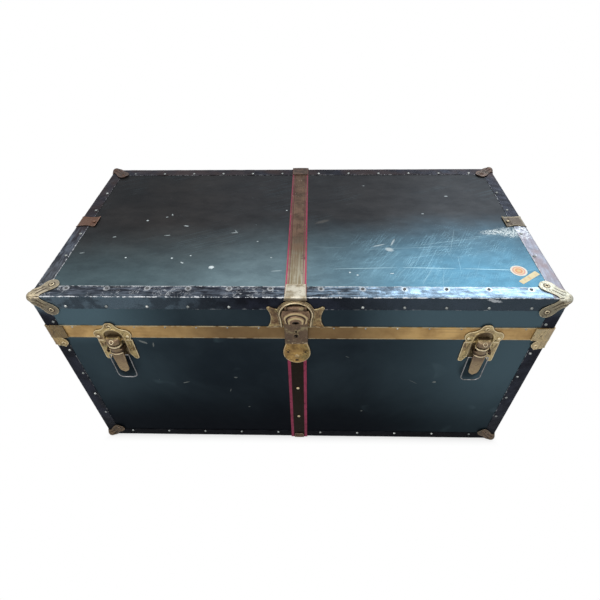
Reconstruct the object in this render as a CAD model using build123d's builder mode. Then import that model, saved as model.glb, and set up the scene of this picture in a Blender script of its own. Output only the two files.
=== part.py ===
from build123d import *
import os

os.makedirs("parts", exist_ok=True)

# A small flat-topped trunk: plywood boards under enamelled sheet steel, with folded
# metal bindings on every edge, brass corner caps, two spring catches and a centre lock.
# Origin: on the floor, under the middle of the whole trunk. +X right, -Y front, +Z up.
# All lengths are in millimetres.

# Overall form, measured over the edge bindings
width = 757.0
depth = 379.0
parting = 294.0  # floor to the joint between case and lid
lid_height = 86.0  # joint to the top of the lid
joint_gap = 0.4  # between the case's rim and the lid's rim
stand = 3.0  # floor to the underside of the case

# Sheet and board thicknesses
board_t = 7.0
skin_t = 0.6
lining_t = 0.5
binding_t = 1.0
band_t = 1.0
clamp_t = 1.0
cap_t = 1.2
strap_t = 1.6

# Edge bindings
long_flange = 24.0  # top and front legs of the front and back edges
end_flange = 21.0  # end edges and upright corners
bottom_flange = 20.0
mitre_gap = 0.2
band_h = 26.0

# Tongue round the inside of the case's rim
rim_t = 6.0
rim_below = 14.0
rim_above = 7.0
rim_clearance = 1.2

# Nails and rivets
nail_r = 2.3
nail_h = 1.5
nail_shank_r = 0.9
nail_shank_l = 5.0
nail_inset = 5.0  # from a binding's inner edge
nail_pitch = 59.0
nail_first = 36.0  # from the centre line
bottom_nail_pitch = 72.0
bottom_nail_first = 41.0
corner_nail_pitch = 60.0
corner_nail_first = 31.0  # below the parting joint
band_pin_first = 56.0
band_pin_pitch = 47.0
rivet_r = 2.9
rivet_h = 1.3

# Corner caps
leaf_reach = 45.0  # along a leaf's diagonal, corner to tip
leaf_lobe_r = 11.0
leaf_root = 15.0  # along each edge
leaf_waist = 7.0  # half width where the leaf is narrowest
leaf_waist_at = 19.0
ball_r = 7.8
ball_inset = 4.0

# Centre strap and its clamps
strap_w = 31.0
strap_clamp_w = 29.0
strap_clamp_top = 25.0
strap_turn_down = 2.7
strap_rivet_heights = (166.0, 77.0)
bottom_clip_w = 18.0
bottom_clip_h = 13.0

# Clamps on the corners of the rim and of the band, and on the end edges of the top
band_corner_w = 27.0
rim_clamp_w = 22.0
rim_clamp_h = 20.0
edge_clamp_l = 36.0
edge_clamp_w = 30.0
edge_clamp_waist = 22.0
edge_clamp_drop = 20.0

# Hinges
hinge_in = 148.5  # middle of a hinge in from the end
hinge_w = 60.0
leaf_h = 20.0
leaf_t = 1.6
leaf_gap = 5.0  # between a leaf's edge and the hinge axis
knuckle_r = 4.2
knuckle_standoff = 0.6
hinge_pin_r = 2.0
pin_clearance = 0.05
knuckle_gap = 0.3

# Catches
catch_in = 97.5  # middle of a catch in from the end
plate_t = 1.8
web_t = 0.8
strike_h = 33.0  # above the joint
strike_overhang = 4.0  # strike plate below the parting joint
strike_half = 29.0
leg_outer = 27.0
leg_inner = 13.8
leg_l = 50.0  # below the joint
catch_pivot_drop = 17.0  # below the joint
barrel_r = 9.0
barrel_half = 10.0
barrel_clearance = 0.5
catch_front = 4.5  # barrel in front of its pin
knob_half = 10.5
knob_h = 17.0
knob_gap = 2.6  # between the knob and the barrel
knob_chamfer = 4.6
knob_boss_r = 3.6
knob_boss_h = 1.2
knob_boss_in = 3.6  # from the knob's front
knob_boss_down = 3.2  # from the knob's top
catch_pin_r = 1.5
ear_t = 2.0
ear_gap = 0.6
tongue_l = 56.0  # below the catch's pin
tongue_half = 9.0
tongue_t = 2.0
bail_wire_r = 1.0
bail_half = 15.4
bail_pivot_drop = 15.0  # below the catch's pin
bail_drop = 57.0
bail_hole_clearance = 0.1

# Lock
lock_drop = 31.5  # middle of the ring below the lid's top
lock_plate_t = 2.2
star_half = 42.0
star_tip_r = 1.5
star_up = 13.5
star_down = 29.0
ring_r = 27.5
ring_w = 5.5
ring_h = 3.4
ring_clearance = 0.8  # each side of the hasp
hasp_axis_up = 15.0  # above the middle of the ring
hasp_barrel_r = 2.8
hasp_barrel_half = 12.0
hasp_pin_r = 1.25
hasp_lug_t = 3.0
hasp_gap = 1.2  # between the lock plate and the hasp
hasp_disc_r = 20.8
hasp_disc_gap = 2.4  # below the barrel
hasp_half = 18.5
hasp_lap = 6.0  # below the joint
hasp_t = 3.6
dome_steps = ((15.5, 2.4), (9.5, 4.2))  # radius, height above the disc
plug_r = 5.0
plug_up = 13.0  # above the joint
plug_clearance = 0.06
cam_t = 0.8
cam_l = 9.0
keeper_half = 21.5
keeper_top_half = 17.0
keeper_wide_drop = 30.0  # all below the joint
keeper_drop = 57.0
keeper_t = 2.6
keeper_bump_r = 1.7
keeper_bump_h = 1.0
keeper_bump_drop = 39.0
keeper_rivet_x = 12.0
keeper_lap = 2.0  # keeper's top edge below the parting joint

# End handles
handle_down = 109.0  # lugs' holes below the joint
handle_plate_w = 104.0
handle_plate_h = 34.0
handle_plate_t = 1.5
handle_r = 3.0
handle_half = 34.0
handle_drop = 36.0
handle_standoff = 6.5
handle_lug_t = 6.0
handle_hole_clearance = 0.1
handle_rivet_y = 18.0  # from the plate's middle
handle_rivet_up = 10.0

# Faces worked out from those sizes. Stand-offs on the front, the back and the ends are
# measured from the face of the sheet steel.
catch_pin_out = web_t + barrel_clearance + barrel_r
catch_reach = catch_pin_out + catch_front
hinge_out = band_t + knuckle_standoff + knuckle_r
hinge_reach = hinge_out + knuckle_r
middle_y = (catch_reach - hinge_reach) / 2
skin_x = width / 2 - binding_t
skin_y = depth / 2 - binding_t
skin_front = middle_y - skin_y
skin_back = middle_y + skin_y
board_x = skin_x - skin_t
board_y = skin_y - skin_t
inner_x = board_x - board_t
inner_y = board_y - board_t
floor_z = stand + binding_t
lid_top = parting + lid_height
skin_top = lid_top - binding_t
board_top = skin_top - skin_t
lid_low = parting + joint_gap
ceiling = board_top - board_t
band_top = lid_low + band_h
hinge_x = width / 2 - hinge_in
catch_x = width / 2 - catch_in
strike_top = parting + strike_h
leg_bottom = parting - leg_l
catch_pivot_z = parting - catch_pivot_drop
tongue_tip = catch_pivot_z - tongue_l
lock_z = lid_top - lock_drop
hasp_axis_z = lock_z + hasp_axis_up
hasp_bottom = parting - hasp_lap
plug_z = parting + plug_up
keeper_wide_z = parting - keeper_wide_drop
keeper_bottom = parting - keeper_drop
keeper_bump_z = parting - keeper_bump_drop
handle_z = parting - handle_down


def save(piece, name):
    """Label a finished piece and write its STEP file."""
    piece.part.label = name
    export_step(piece.part, f"parts/{name}.step")


def block(low, high):
    """Make a board, sheet or bar between two opposite corners."""
    with BuildPart() as piece:
        with Locations(tuple((a + b) / 2 for a, b in zip(low, high))):
            Box(*[b - a for a, b in zip(low, high)])
    return piece


def upright_ring(outer_x, outer_y, thickness, low, high):
    """Make a four-sided wall round the trunk's upright middle line."""
    with BuildPart() as piece:
        with BuildSketch(Plane.XY.offset(low)):
            with Locations((0, middle_y)):
                Rectangle(2 * outer_x, 2 * outer_y)
                Rectangle(2 * (outer_x - thickness), 2 * (outer_y - thickness), mode=Mode.SUBTRACT)
        extrude(amount=high - low)
    return piece


# ---------------------------------------------------------------- boards
def walls(prefix, low, high):
    """Make the four upright boards of the case or of the lid."""
    front = block((-board_x, middle_y - board_y, low), (board_x, middle_y - inner_y, high))
    save(front, f"{prefix}_front_board")
    back = block((-board_x, middle_y + inner_y, low), (board_x, middle_y + board_y, high))
    save(back, f"{prefix}_back_board")
    left = block((-board_x, middle_y - inner_y, low), (-inner_x, middle_y + inner_y, high))
    save(left, f"{prefix}_left_board")
    right = block((inner_x, middle_y - inner_y, low), (board_x, middle_y + inner_y, high))
    save(right, f"{prefix}_right_board")


walls("case", floor_z, parting)
walls("lid", lid_low, ceiling)
case_bottom_board = block(
    (-inner_x, middle_y - inner_y, floor_z), (inner_x, middle_y + inner_y, floor_z + board_t)
)
save(case_bottom_board, "case_bottom_board")
lid_top_board = block(
    (-board_x, middle_y - board_y, ceiling), (board_x, middle_y + board_y, board_top)
)
save(lid_top_board, "lid_top_board")

# ---------------------------------------------------------------- sheet steel
case_sheet = upright_ring(skin_x, skin_y, skin_t, floor_z, parting)
save(case_sheet, "case_sheet")
lid_wall_sheet = upright_ring(skin_x, skin_y, skin_t, lid_low, board_top)
save(lid_wall_sheet, "lid_wall_sheet")
lid_top_sheet = block((-skin_x, skin_front, board_top), (skin_x, skin_back, skin_top))
save(lid_top_sheet, "lid_top_sheet")


# ---------------------------------------------------------------- paper linings
def lining(low, high, open_up):
    """Make a thin tray of lining paper against the inner faces."""
    with BuildPart() as piece:
        with Locations((0, middle_y, (low + high) / 2)):
            Box(2 * inner_x, 2 * inner_y, high - low)
        shift = lining_t if open_up else -lining_t
        with Locations((0, middle_y, (low + high) / 2 + shift)):
            Box(
                2 * (inner_x - lining_t),
                2 * (inner_y - lining_t),
                high - low,
                mode=Mode.SUBTRACT,
            )
    return piece


case_lining = lining(floor_z + board_t, parting - rim_below, open_up=True)
save(case_lining, "case_lining")
lid_lining = lining(lid_low, ceiling, open_up=False)
save(lid_lining, "lid_lining")


# ---------------------------------------------------------------- rim tongue
def rim_bar(half_length, along_x, side):
    """Make one side of the tongue, rebated where the lid comes down over it."""
    setback = lining_t + rim_clearance
    plane = Plane.YZ if along_x else Plane.XZ
    reach = inner_y if along_x else inner_x
    start = middle_y if along_x else 0
    with BuildPart() as piece:
        with BuildSketch(plane.offset(-half_length if along_x else half_length - middle_y)):
            with BuildLine():
                Polyline(
                    (start + side * reach, parting - rim_below),
                    (start + side * reach, parting),
                    (start + side * (reach - setback), parting),
                    (start + side * (reach - setback), parting + rim_above),
                    (start + side * (reach - rim_t), parting + rim_above),
                    (start + side * (reach - rim_t), parting - rim_below),
                    close=True,
                )
            make_face()
        extrude(amount=2 * half_length if along_x else -2 * half_length)
    return piece


end_bar_half = inner_y - rim_t - mitre_gap
with BuildPart() as case_rim:
    for side in (-1, 1):
        add(rim_bar(inner_x - lining_t - rim_clearance, True, side))
        add(rim_bar(end_bar_half, False, side))
save(case_rim, "case_rim")


# ---------------------------------------------------------------- edge bindings
def mitred_strip(side, half_x, half_y, leg_x, leg_y, low, high):
    """Make one side of a frame in plan, cut to a mitre at both ends."""
    gap = mitre_gap
    if side in ("front", "back"):
        sign = -1 if side == "front" else 1
        points = [
            (-half_x + gap, middle_y + sign * half_y),
            (half_x - gap, middle_y + sign * half_y),
            (half_x - leg_x - gap, middle_y + sign * (half_y - leg_y)),
            (-half_x + leg_x + gap, middle_y + sign * (half_y - leg_y)),
        ]
    else:
        sign = -1 if side == "left" else 1
        points = [
            (sign * half_x, middle_y - half_y + gap),
            (sign * half_x, middle_y + half_y - gap),
            (sign * (half_x - leg_x), middle_y + half_y - leg_y - gap),
            (sign * (half_x - leg_x), middle_y - half_y + leg_y + gap),
        ]
    with BuildPart() as piece:
        with BuildSketch(Plane.XY.offset(low)):
            with BuildLine():
                Polyline(*points, close=True)
            make_face()
        extrude(amount=high - low)
    return piece


def binding_angle(side, flat_low, flat_high, leg_x, leg_y, upright_low, upright_high, outer_z):
    """Make an angle strip for one edge: a flat leg and an upright leg, outer edge rounded."""
    half_x = width / 2
    half_y = depth / 2
    axis = Axis.X if side in ("front", "back") else Axis.Y
    with BuildPart() as piece:
        add(mitred_strip(side, half_x, half_y, leg_x, leg_y, flat_low, flat_high))
        add(mitred_strip(side, half_x, half_y, binding_t, binding_t, upright_low, upright_high))
        outer = piece.edges().filter_by(axis).sort_by(lambda e: abs(e.center().Z - outer_z))[:2]
        across = Axis.Y if axis is Axis.X else Axis.X
        edge = outer.sort_by(across)[0 if side in ("front", "left") else -1]
        fillet(edge, radius=binding_t * 0.9)
    return piece


with BuildPart() as lid_edge_binding:
    for side in ("front", "back", "left", "right"):
        drop = long_flange if side in ("front", "back") else end_flange
        add(
            binding_angle(
                side, skin_top, lid_top, end_flange, long_flange, lid_top - drop, lid_top, lid_top
            )
        )
save(lid_edge_binding, "lid_edge_binding")

with BuildPart() as case_bottom_binding:
    for side in ("front", "back", "left", "right"):
        add(
            binding_angle(
                side,
                stand,
                floor_z,
                bottom_flange,
                bottom_flange,
                stand,
                stand + bottom_flange,
                stand,
            )
        )
save(case_bottom_binding, "case_bottom_binding")


def corner_angles(low, high):
    """Make the four upright corner bindings between two heights."""
    with BuildPart() as piece:
        with BuildSketch(Plane.XY.offset(low)):
            for sx in (-1, 1):
                for sy in (-1, 1):
                    corner_x = sx * width / 2
                    corner_y = middle_y + sy * depth / 2
                    with Locations((corner_x - sx * end_flange / 2, corner_y - sy * binding_t / 2)):
                        Rectangle(end_flange, binding_t)
                    with Locations((corner_x - sx * binding_t / 2, corner_y - sy * end_flange / 2)):
                        Rectangle(binding_t, end_flange)
            outer = vertices().sort_by(lambda v: abs(v.X) + abs(v.Y - middle_y))[-4:]
            fillet(outer, radius=binding_t * 0.9)
        extrude(amount=high - low)
    return piece


lid_corner_binding = corner_angles(band_top + mitre_gap, lid_top - long_flange - mitre_gap)
save(lid_corner_binding, "lid_corner_binding")
case_corner_binding = corner_angles(stand + bottom_flange + mitre_gap, parting)
save(case_corner_binding, "case_corner_binding")

# ---------------------------------------------------------------- tan band
lid_band = upright_ring(skin_x + band_t, skin_y + band_t, band_t, lid_low, band_top)
save(lid_band, "lid_band")


# ---------------------------------------------------------------- corner caps
def leaf_outline():
    """Draw one leaf of a cap from the corner at the origin, growing to +x and +y."""
    half = 2**0.5
    lobe_at = leaf_reach - leaf_lobe_r
    join_at = lobe_at - leaf_lobe_r * 0.64
    join_half = leaf_lobe_r * 0.77

    def point(along, across):
        return ((along + across) / half, (along - across) / half)

    with BuildSketch() as outline:
        with BuildLine():
            ThreePointArc(
                (leaf_root, -cap_t), point(leaf_waist_at, leaf_waist), point(join_at, join_half)
            )
            ThreePointArc(
                point(join_at, join_half), point(leaf_reach, 0), point(join_at, -join_half)
            )
            ThreePointArc(
                point(join_at, -join_half), point(leaf_waist_at, -leaf_waist), (-cap_t, leaf_root)
            )
            Polyline((-cap_t, leaf_root), (-cap_t, -cap_t), (leaf_root, -cap_t))
        make_face()
    return outline


def corner_cap(z, up):
    """Make the cap of the front left corner at the top (up = 1) or bottom (up = -1)."""
    corner = Vector(-width / 2, middle_y - depth / 2, z)
    inward = Vector(0, 0, -up)
    flat = Plane(corner, x_dir=(1, 0, 0) if up > 0 else (0, 1, 0), z_dir=(0, 0, up))
    front = Plane(corner, x_dir=inward if up > 0 else (1, 0, 0), z_dir=(0, -1, 0))
    end = Plane(corner, x_dir=(0, 1, 0) if up > 0 else inward, z_dir=(-1, 0, 0))
    with BuildPart() as piece:
        for plane in (flat, front, end):
            with BuildSketch(plane):
                add(leaf_outline())
            extrude(amount=cap_t)
        with Locations(corner + Vector(ball_inset, ball_inset, -up * ball_inset)):
            Sphere(ball_r)
        inside = corner + Vector(leaf_reach, leaf_reach, -up * leaf_reach)
        with Locations(inside):
            Box(2 * leaf_reach, 2 * leaf_reach, 2 * leaf_reach, mode=Mode.SUBTRACT)
        if up < 0:
            with Locations((corner.X, corner.Y, -ball_r)):
                Box(4 * ball_r, 4 * ball_r, 2 * ball_r, mode=Mode.SUBTRACT)
    return piece


def at_four_corners(piece):
    """Repeat a front left piece at the other three corners."""
    with BuildPart() as group:
        add(piece)
        mirror(about=Plane.YZ)
        mirror(about=Plane.XZ.offset(-middle_y))
    return group


lid_corner_caps = at_four_corners(corner_cap(lid_top, 1))
save(lid_corner_caps, "lid_corner_caps")
case_corner_caps = at_four_corners(corner_cap(stand, -1))
save(case_corner_caps, "case_corner_caps")


# ---------------------------------------------------------------- rim and band clamps
def rim_clamp():
    """Make the brass angle under the rim at the front left corner, with a lobed end."""
    corner = Vector(-width / 2, middle_y - depth / 2, parting)
    front = Plane(corner, x_dir=(1, 0, 0), z_dir=(0, -1, 0))
    end = Plane(corner, x_dir=(0, -1, 0), z_dir=(-1, 0, 0))
    with BuildPart() as piece:
        for plane, toward in ((front, 1), (end, -1)):
            with BuildSketch(plane):
                with BuildLine():
                    Polyline(
                        (-toward * clamp_t, -rim_clamp_h * 0.8),
                        (-toward * clamp_t, 0),
                        (toward * rim_clamp_w * 0.75, 0),
                    )
                    ThreePointArc(
                        (toward * rim_clamp_w * 0.75, 0),
                        (toward * rim_clamp_w, -rim_clamp_h * 0.5),
                        (toward * rim_clamp_w * 0.7, -rim_clamp_h),
                    )
                    ThreePointArc(
                        (toward * rim_clamp_w * 0.7, -rim_clamp_h),
                        (toward * rim_clamp_w * 0.36, -rim_clamp_h * 0.88),
                        (-toward * clamp_t, -rim_clamp_h * 0.8),
                    )
                make_face()
            extrude(amount=clamp_t)
    return piece


def band_corner():
    """Make the brass angle over the band's end at the front left corner."""
    x = -width / 2
    y = middle_y - depth / 2
    with BuildPart() as piece:
        with BuildSketch(Plane.XY.offset(lid_low)):
            with BuildLine():
                Polyline(
                    (x, y),
                    (x, y + band_corner_w),
                    (x - clamp_t, y + band_corner_w),
                    (x - clamp_t, y - clamp_t),
                    (x + band_corner_w, y - clamp_t),
                    (x + band_corner_w, y),
                    close=True,
                )
            make_face()
        extrude(amount=band_h)
    return piece


rim_corner_clamps = at_four_corners(rim_clamp())
save(rim_corner_clamps, "rim_corner_clamps")
band_corner_clamps = at_four_corners(band_corner())
save(band_corner_clamps, "band_corner_clamps")


def edge_clamp():
    """Make the waisted brass clamp over the middle of the left end's top edge."""
    corner = Vector(-width / 2, middle_y, lid_top)
    top = Plane(corner, x_dir=(1, 0, 0), z_dir=(0, 0, 1))
    end = Plane(corner, x_dir=(0, 0, -1), z_dir=(-1, 0, 0))
    with BuildPart() as piece:
        for plane, reach in ((top, edge_clamp_l), (end, edge_clamp_drop)):
            with BuildSketch(plane):
                with BuildLine():
                    for side in (-1, 1):
                        ThreePointArc(
                            (-clamp_t, side * edge_clamp_w / 2),
                            (reach * 0.5, side * edge_clamp_waist / 2),
                            (reach, side * edge_clamp_w * 0.43),
                        )
                    Line((reach, -edge_clamp_w * 0.43), (reach, edge_clamp_w * 0.43))
                    Line((-clamp_t, -edge_clamp_w / 2), (-clamp_t, edge_clamp_w / 2))
                make_face()
            extrude(amount=clamp_t)
        # The clamp's inner end laps the sheet beyond the binding, so it is filled below.
        with BuildSketch(Plane.XY.offset(skin_top)):
            lap = edge_clamp_l - end_flange
            with Locations((-width / 2 + end_flange + lap / 2, middle_y)):
                Rectangle(lap, edge_clamp_waist)
        extrude(amount=binding_t)
    return piece


with BuildPart() as edge_clamps:
    add(edge_clamp())
    mirror(about=Plane.YZ)
save(edge_clamps, "edge_clamps")

# ---------------------------------------------------------------- centre strap
top_binding_front = skin_front + long_flange - binding_t
with BuildPart() as lid_strap:
    with BuildSketch(Plane.YZ.offset(-strap_w / 2)):
        front_out = skin_front - strap_t
        back_out = skin_back + strap_t
        with BuildLine():
            Polyline(
                (front_out, skin_top - strap_turn_down),
                (front_out, skin_top + strap_t),
                (back_out, skin_top + strap_t),
                (back_out, band_top + 1),
                (skin_back, band_top + 1),
                (skin_back, lid_top - long_flange),
                (skin_back + binding_t, lid_top - long_flange),
                (skin_back + binding_t, lid_top),
                (skin_back + binding_t - long_flange, lid_top),
                (skin_back + binding_t - long_flange, skin_top),
                (top_binding_front, skin_top),
                (top_binding_front, lid_top),
                (skin_front - binding_t, lid_top),
                (skin_front - binding_t, skin_top - strap_turn_down),
                close=True,
            )
        make_face()
    extrude(amount=strap_w)
save(lid_strap, "lid_strap")


def case_strap(face, outward, high):
    """Make an upright strap on the case, from a height down over the bottom binding."""
    with BuildPart() as piece:
        with BuildSketch(Plane.YZ.offset(-strap_w / 2)):
            with BuildLine():
                Polyline(
                    (face, high),
                    (face + outward * strap_t, high),
                    (face + outward * strap_t, stand),
                    (face + outward * binding_t, stand),
                    (face + outward * binding_t, stand + bottom_flange),
                    (face, stand + bottom_flange),
                    close=True,
                )
            make_face()
        extrude(amount=strap_w)
    return piece


front_strap_top = keeper_bottom + 12
front_strap = case_strap(skin_front, -1, front_strap_top)
save(front_strap, "front_strap")
back_strap = case_strap(skin_back, 1, parting - 1)
save(back_strap, "back_strap")


def strap_clamp(face, outward):
    """Make the brass clamp that holds the strap over a top edge of the lid."""
    low = skin_top - strap_turn_down
    out = face + outward * strap_t
    far = face - outward * strap_clamp_top
    with BuildPart() as piece:
        with BuildSketch(Plane.YZ.offset(-strap_clamp_w / 2)):
            with BuildLine():
                Polyline(
                    (out, low),
                    (out + outward * clamp_t, low),
                    (out + outward * clamp_t, skin_top + strap_t + clamp_t),
                    (far, skin_top + strap_t + clamp_t),
                    (far, skin_top + strap_t),
                    (out, skin_top + strap_t),
                    close=True,
                )
            make_face()
        extrude(amount=strap_clamp_w)
    return piece


strap_front_clamp = strap_clamp(skin_front, -1)
save(strap_front_clamp, "strap_front_clamp")
strap_back_clamp = strap_clamp(skin_back, 1)
save(strap_back_clamp, "strap_back_clamp")

with BuildPart() as strap_bottom_clip:
    clip_out = skin_front - strap_t
    with BuildSketch(Plane.YZ.offset(-bottom_clip_w / 2)):
        with BuildLine():
            Polyline(
                (clip_out, stand),
                (clip_out, stand + bottom_clip_h),
                (clip_out - clamp_t, stand + bottom_clip_h),
                (clip_out - clamp_t, stand - clamp_t),
                (skin_front + bottom_clip_h, stand - clamp_t),
                (skin_front + bottom_clip_h, stand),
                close=True,
            )
        make_face()
    extrude(amount=bottom_clip_w)
save(strap_bottom_clip, "strap_bottom_clip")

# ---------------------------------------------------------------- hinges
hinge_y = skin_back + hinge_out
third = hinge_w / 3


def hinge_knuckles(spans):
    """Make bored knuckles on the hinge axis, for (low, high) spans along it."""
    with BuildPart() as piece:
        for low, high in spans:
            with BuildSketch(Plane.YZ.offset(low)):
                with Locations((hinge_y, parting)):
                    Circle(knuckle_r)
                    Circle(hinge_pin_r + pin_clearance, mode=Mode.SUBTRACT)
            extrude(amount=high - low)
    return piece


def hinge_leaf(centre, spans, low, high, face, root_low, root_high):
    """Make one leaf of a hinge with its knuckles."""
    with BuildPart() as piece:
        add(hinge_knuckles([(centre + a, centre + b) for a, b in spans]))
        with BuildSketch(Plane.XZ.offset(-face - leaf_t)):
            with Locations((centre, (low + high) / 2)):
                Rectangle(hinge_w, high - low)
            for a, b in spans:
                with Locations((centre + (a + b) / 2, (root_low + root_high) / 2)):
                    Rectangle(b - a, root_high - root_low)
        extrude(amount=leaf_t)
        with Locations((centre, hinge_y, parting)):
            Cylinder(
                hinge_pin_r + pin_clearance, hinge_w, rotation=(0, 90, 0), mode=Mode.SUBTRACT
            )
    return piece


case_spans = [(-hinge_w / 2, -third / 2 - knuckle_gap), (third / 2 + knuckle_gap, hinge_w / 2)]
lid_spans = [(-third / 2, third / 2)]
with BuildPart() as case_hinge_leaves:
    for centre in (-hinge_x, hinge_x):
        add(
            hinge_leaf(
                centre,
                case_spans,
                parting - leaf_gap - leaf_h,
                parting - leaf_gap,
                skin_back,
                parting - leaf_gap,
                parting,
            )
        )
save(case_hinge_leaves, "case_hinge_leaves")
with BuildPart() as lid_hinge_leaves:
    for centre in (-hinge_x, hinge_x):
        add(
            hinge_leaf(
                centre,
                lid_spans,
                parting + leaf_gap,
                parting + leaf_gap + leaf_h,
                skin_back + band_t,
                parting,
                parting + leaf_gap,
            )
        )
save(lid_hinge_leaves, "lid_hinge_leaves")
with BuildPart() as hinge_pins:
    with Locations((-hinge_x, hinge_y, parting), (hinge_x, hinge_y, parting)):
        Cylinder(hinge_pin_r, hinge_w + 1, rotation=(0, 90, 0))
save(hinge_pins, "hinge_pins")

# ---------------------------------------------------------------- catches
catch_pin_y = skin_front - catch_pin_out
barrel_front = skin_front - catch_reach


def cheek_profile(centre, half, back, front):
    """Draw a half-round section in plan, flat at the back and bulging to the front."""
    side_y = front + (back - front) * 0.42
    with BuildSketch() as outline:
        with BuildLine():
            Polyline(
                (centre - half, side_y),
                (centre - half, back),
                (centre + half, back),
                (centre + half, side_y),
            )
            ThreePointArc((centre + half, side_y), (centre, front), (centre - half, side_y))
        make_face()
    return outline


def strike(centre):
    """Make the catch's upper plate on the lid, with its arched rim and its knob."""
    face = skin_front - band_t
    low = parting - strike_overhang
    shoulder = lid_low + 9
    knob_low = catch_pivot_z + barrel_r + knob_gap
    with BuildPart() as piece:
        with BuildSketch(Plane.XZ.offset(-face)):
            with BuildLine():
                Line((centre - leg_outer + 1, low), (centre + leg_outer - 1, low))
                for side in (-1, 1):
                    Line(
                        (centre + side * (leg_outer - 1), low),
                        (centre + side * (leg_outer - 1), lid_low),
                    )
                    ThreePointArc(
                        (centre + side * (leg_outer - 1), lid_low),
                        (centre + side * strike_half, shoulder),
                        (centre + side * (strike_half - 7), shoulder + 9),
                    )
                    ThreePointArc(
                        (centre + side * (strike_half - 7), shoulder + 9),
                        (centre + side * 14, shoulder + 11.5),
                        (centre + side * 8.5, strike_top - 5),
                    )
                ThreePointArc(
                    (centre - 8.5, strike_top - 5), (centre, strike_top),
                    (centre + 8.5, strike_top - 5),
                )
            make_face()
        extrude(amount=plate_t)
        # The raised rim of the arch round the knob
        with BuildSketch(Plane.XZ.offset(-face + plate_t)):
            with BuildLine():
                for half, top in ((leg_inner + 3.4, lid_low + 21), (leg_inner, lid_low + 17.5)):
                    ThreePointArc(
                        (centre - half, lid_low + 5), (centre, top), (centre + half, lid_low + 5)
                    )
                for side in (-1, 1):
                    Polyline(
                        (centre + side * (leg_inner + 3.4), lid_low + 5),
                        (centre + side * (leg_inner + 3.4), low),
                        (centre + side * leg_inner, low),
                        (centre + side * leg_inner, lid_low + 5),
                    )
            make_face()
        extrude(amount=plate_t)
        with BuildSketch(Plane.XY.offset(knob_low)):
            add(cheek_profile(centre, knob_half, face - plate_t / 2, barrel_front + 0.6))
        extrude(amount=knob_h)
        top_edges = piece.faces().filter_by(Plane.XY).sort_by(Axis.Z)[-1].edges()
        front_edge = top_edges.filter_by(GeomType.CIRCLE)
        chamfer(front_edge, length=knob_chamfer)
        boss_y = barrel_front + 0.6 + knob_boss_in
        boss_z = knob_low + knob_h - knob_boss_down
        with Locations(Plane((centre, boss_y, boss_z), z_dir=(0, -1, 1))):
            Cylinder(knob_boss_r, 2 * knob_boss_h)
    return piece


def catch_base(centre):
    """Make the catch's lower plate on the case: two legs, a thin web and two ears."""
    top = parting - strike_overhang - joint_gap
    with BuildPart() as piece:
        with BuildSketch(Plane.XZ.offset(-skin_front)):
            with Locations((centre, (leg_bottom + 9 + top) / 2)):
                Rectangle(2 * leg_inner + 2, top - leg_bottom - 9)
        extrude(amount=web_t)
        with BuildSketch(Plane.XZ.offset(-skin_front)):
            for side in (-1, 1):
                with BuildLine():
                    Polyline(
                        (centre + side * leg_inner, leg_bottom + 14),
                        (centre + side * leg_inner, top),
                        (centre + side * leg_outer, top),
                        (centre + side * leg_outer, leg_bottom + 5),
                    )
                    ThreePointArc(
                        (centre + side * leg_outer, leg_bottom + 5),
                        (centre + side * (leg_outer - 3), leg_bottom),
                        (centre + side * (leg_outer - 7), leg_bottom + 2),
                    )
                    Line(
                        (centre + side * (leg_outer - 7), leg_bottom + 2),
                        (centre + side * leg_inner, leg_bottom + 14),
                    )
                make_face()
        extrude(amount=plate_t)
        for side in (-1, 1):
            inner = centre + side * (barrel_half + ear_gap)
            outer = inner + side * ear_t
            with BuildSketch(Plane.YZ.offset(min(inner, outer))):
                with Locations((catch_pin_y, catch_pivot_z)):
                    Circle(3.6)
                with Locations(((catch_pin_y + skin_front) / 2, catch_pivot_z)):
                    Rectangle(skin_front - catch_pin_y, 7.2)
                with Locations((catch_pin_y, catch_pivot_z)):
                    Circle(catch_pin_r, mode=Mode.SUBTRACT)
            extrude(amount=ear_t)
    return piece


bail_z = catch_pivot_z - bail_pivot_drop
bail_y = catch_pin_y + 1.5


def catch_lever(centre):
    """Make the lever: a half-round barrel on its pin, drawn out to a flat tongue."""
    with BuildPart() as piece:
        with BuildSketch(Plane.XY.offset(catch_pivot_z - barrel_r)):
            add(cheek_profile(centre, barrel_half, catch_pin_y + 7.5, barrel_front))
        extrude(amount=2 * barrel_r)
        with Locations((centre, catch_pin_y, catch_pivot_z)):
            Cylinder(barrel_r, 4 * barrel_half, rotation=(0, 90, 0), mode=Mode.INTERSECT)
        with BuildSketch(Plane.YZ.offset(centre - tongue_half)):
            with BuildLine():
                Polyline(
                    (bail_y + 2.2, catch_pivot_z - 6),
                    (bail_y + 2.2, bail_z - 2.5),
                    (bail_y - 2.2 + tongue_t, bail_z - 6),
                    (barrel_front + 3.5 + tongue_t, tongue_tip),
                    (barrel_front + 3.5, tongue_tip),
                    (bail_y - 2.2, bail_z - 6),
                    (bail_y - 2.2, catch_pivot_z - 6),
                    close=True,
                )
            make_face()
        extrude(amount=2 * tongue_half)
        # Round the tongue's tip
        tip_edges = piece.edges().filter_by(Axis.Y).group_by(Axis.Z)[0]
        fillet(tip_edges, radius=tongue_half * 0.75)
        with Locations((centre, catch_pin_y, catch_pivot_z)):
            Cylinder(
                catch_pin_r + pin_clearance,
                4 * barrel_half,
                rotation=(0, 90, 0),
                mode=Mode.SUBTRACT,
            )
        for side in (-1, 1):
            with Locations((centre + side * tongue_half, bail_y, bail_z)):
                Cylinder(
                    bail_wire_r + bail_hole_clearance,
                    6,
                    rotation=(0, 90, 0),
                    mode=Mode.SUBTRACT,
                )
    return piece


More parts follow.
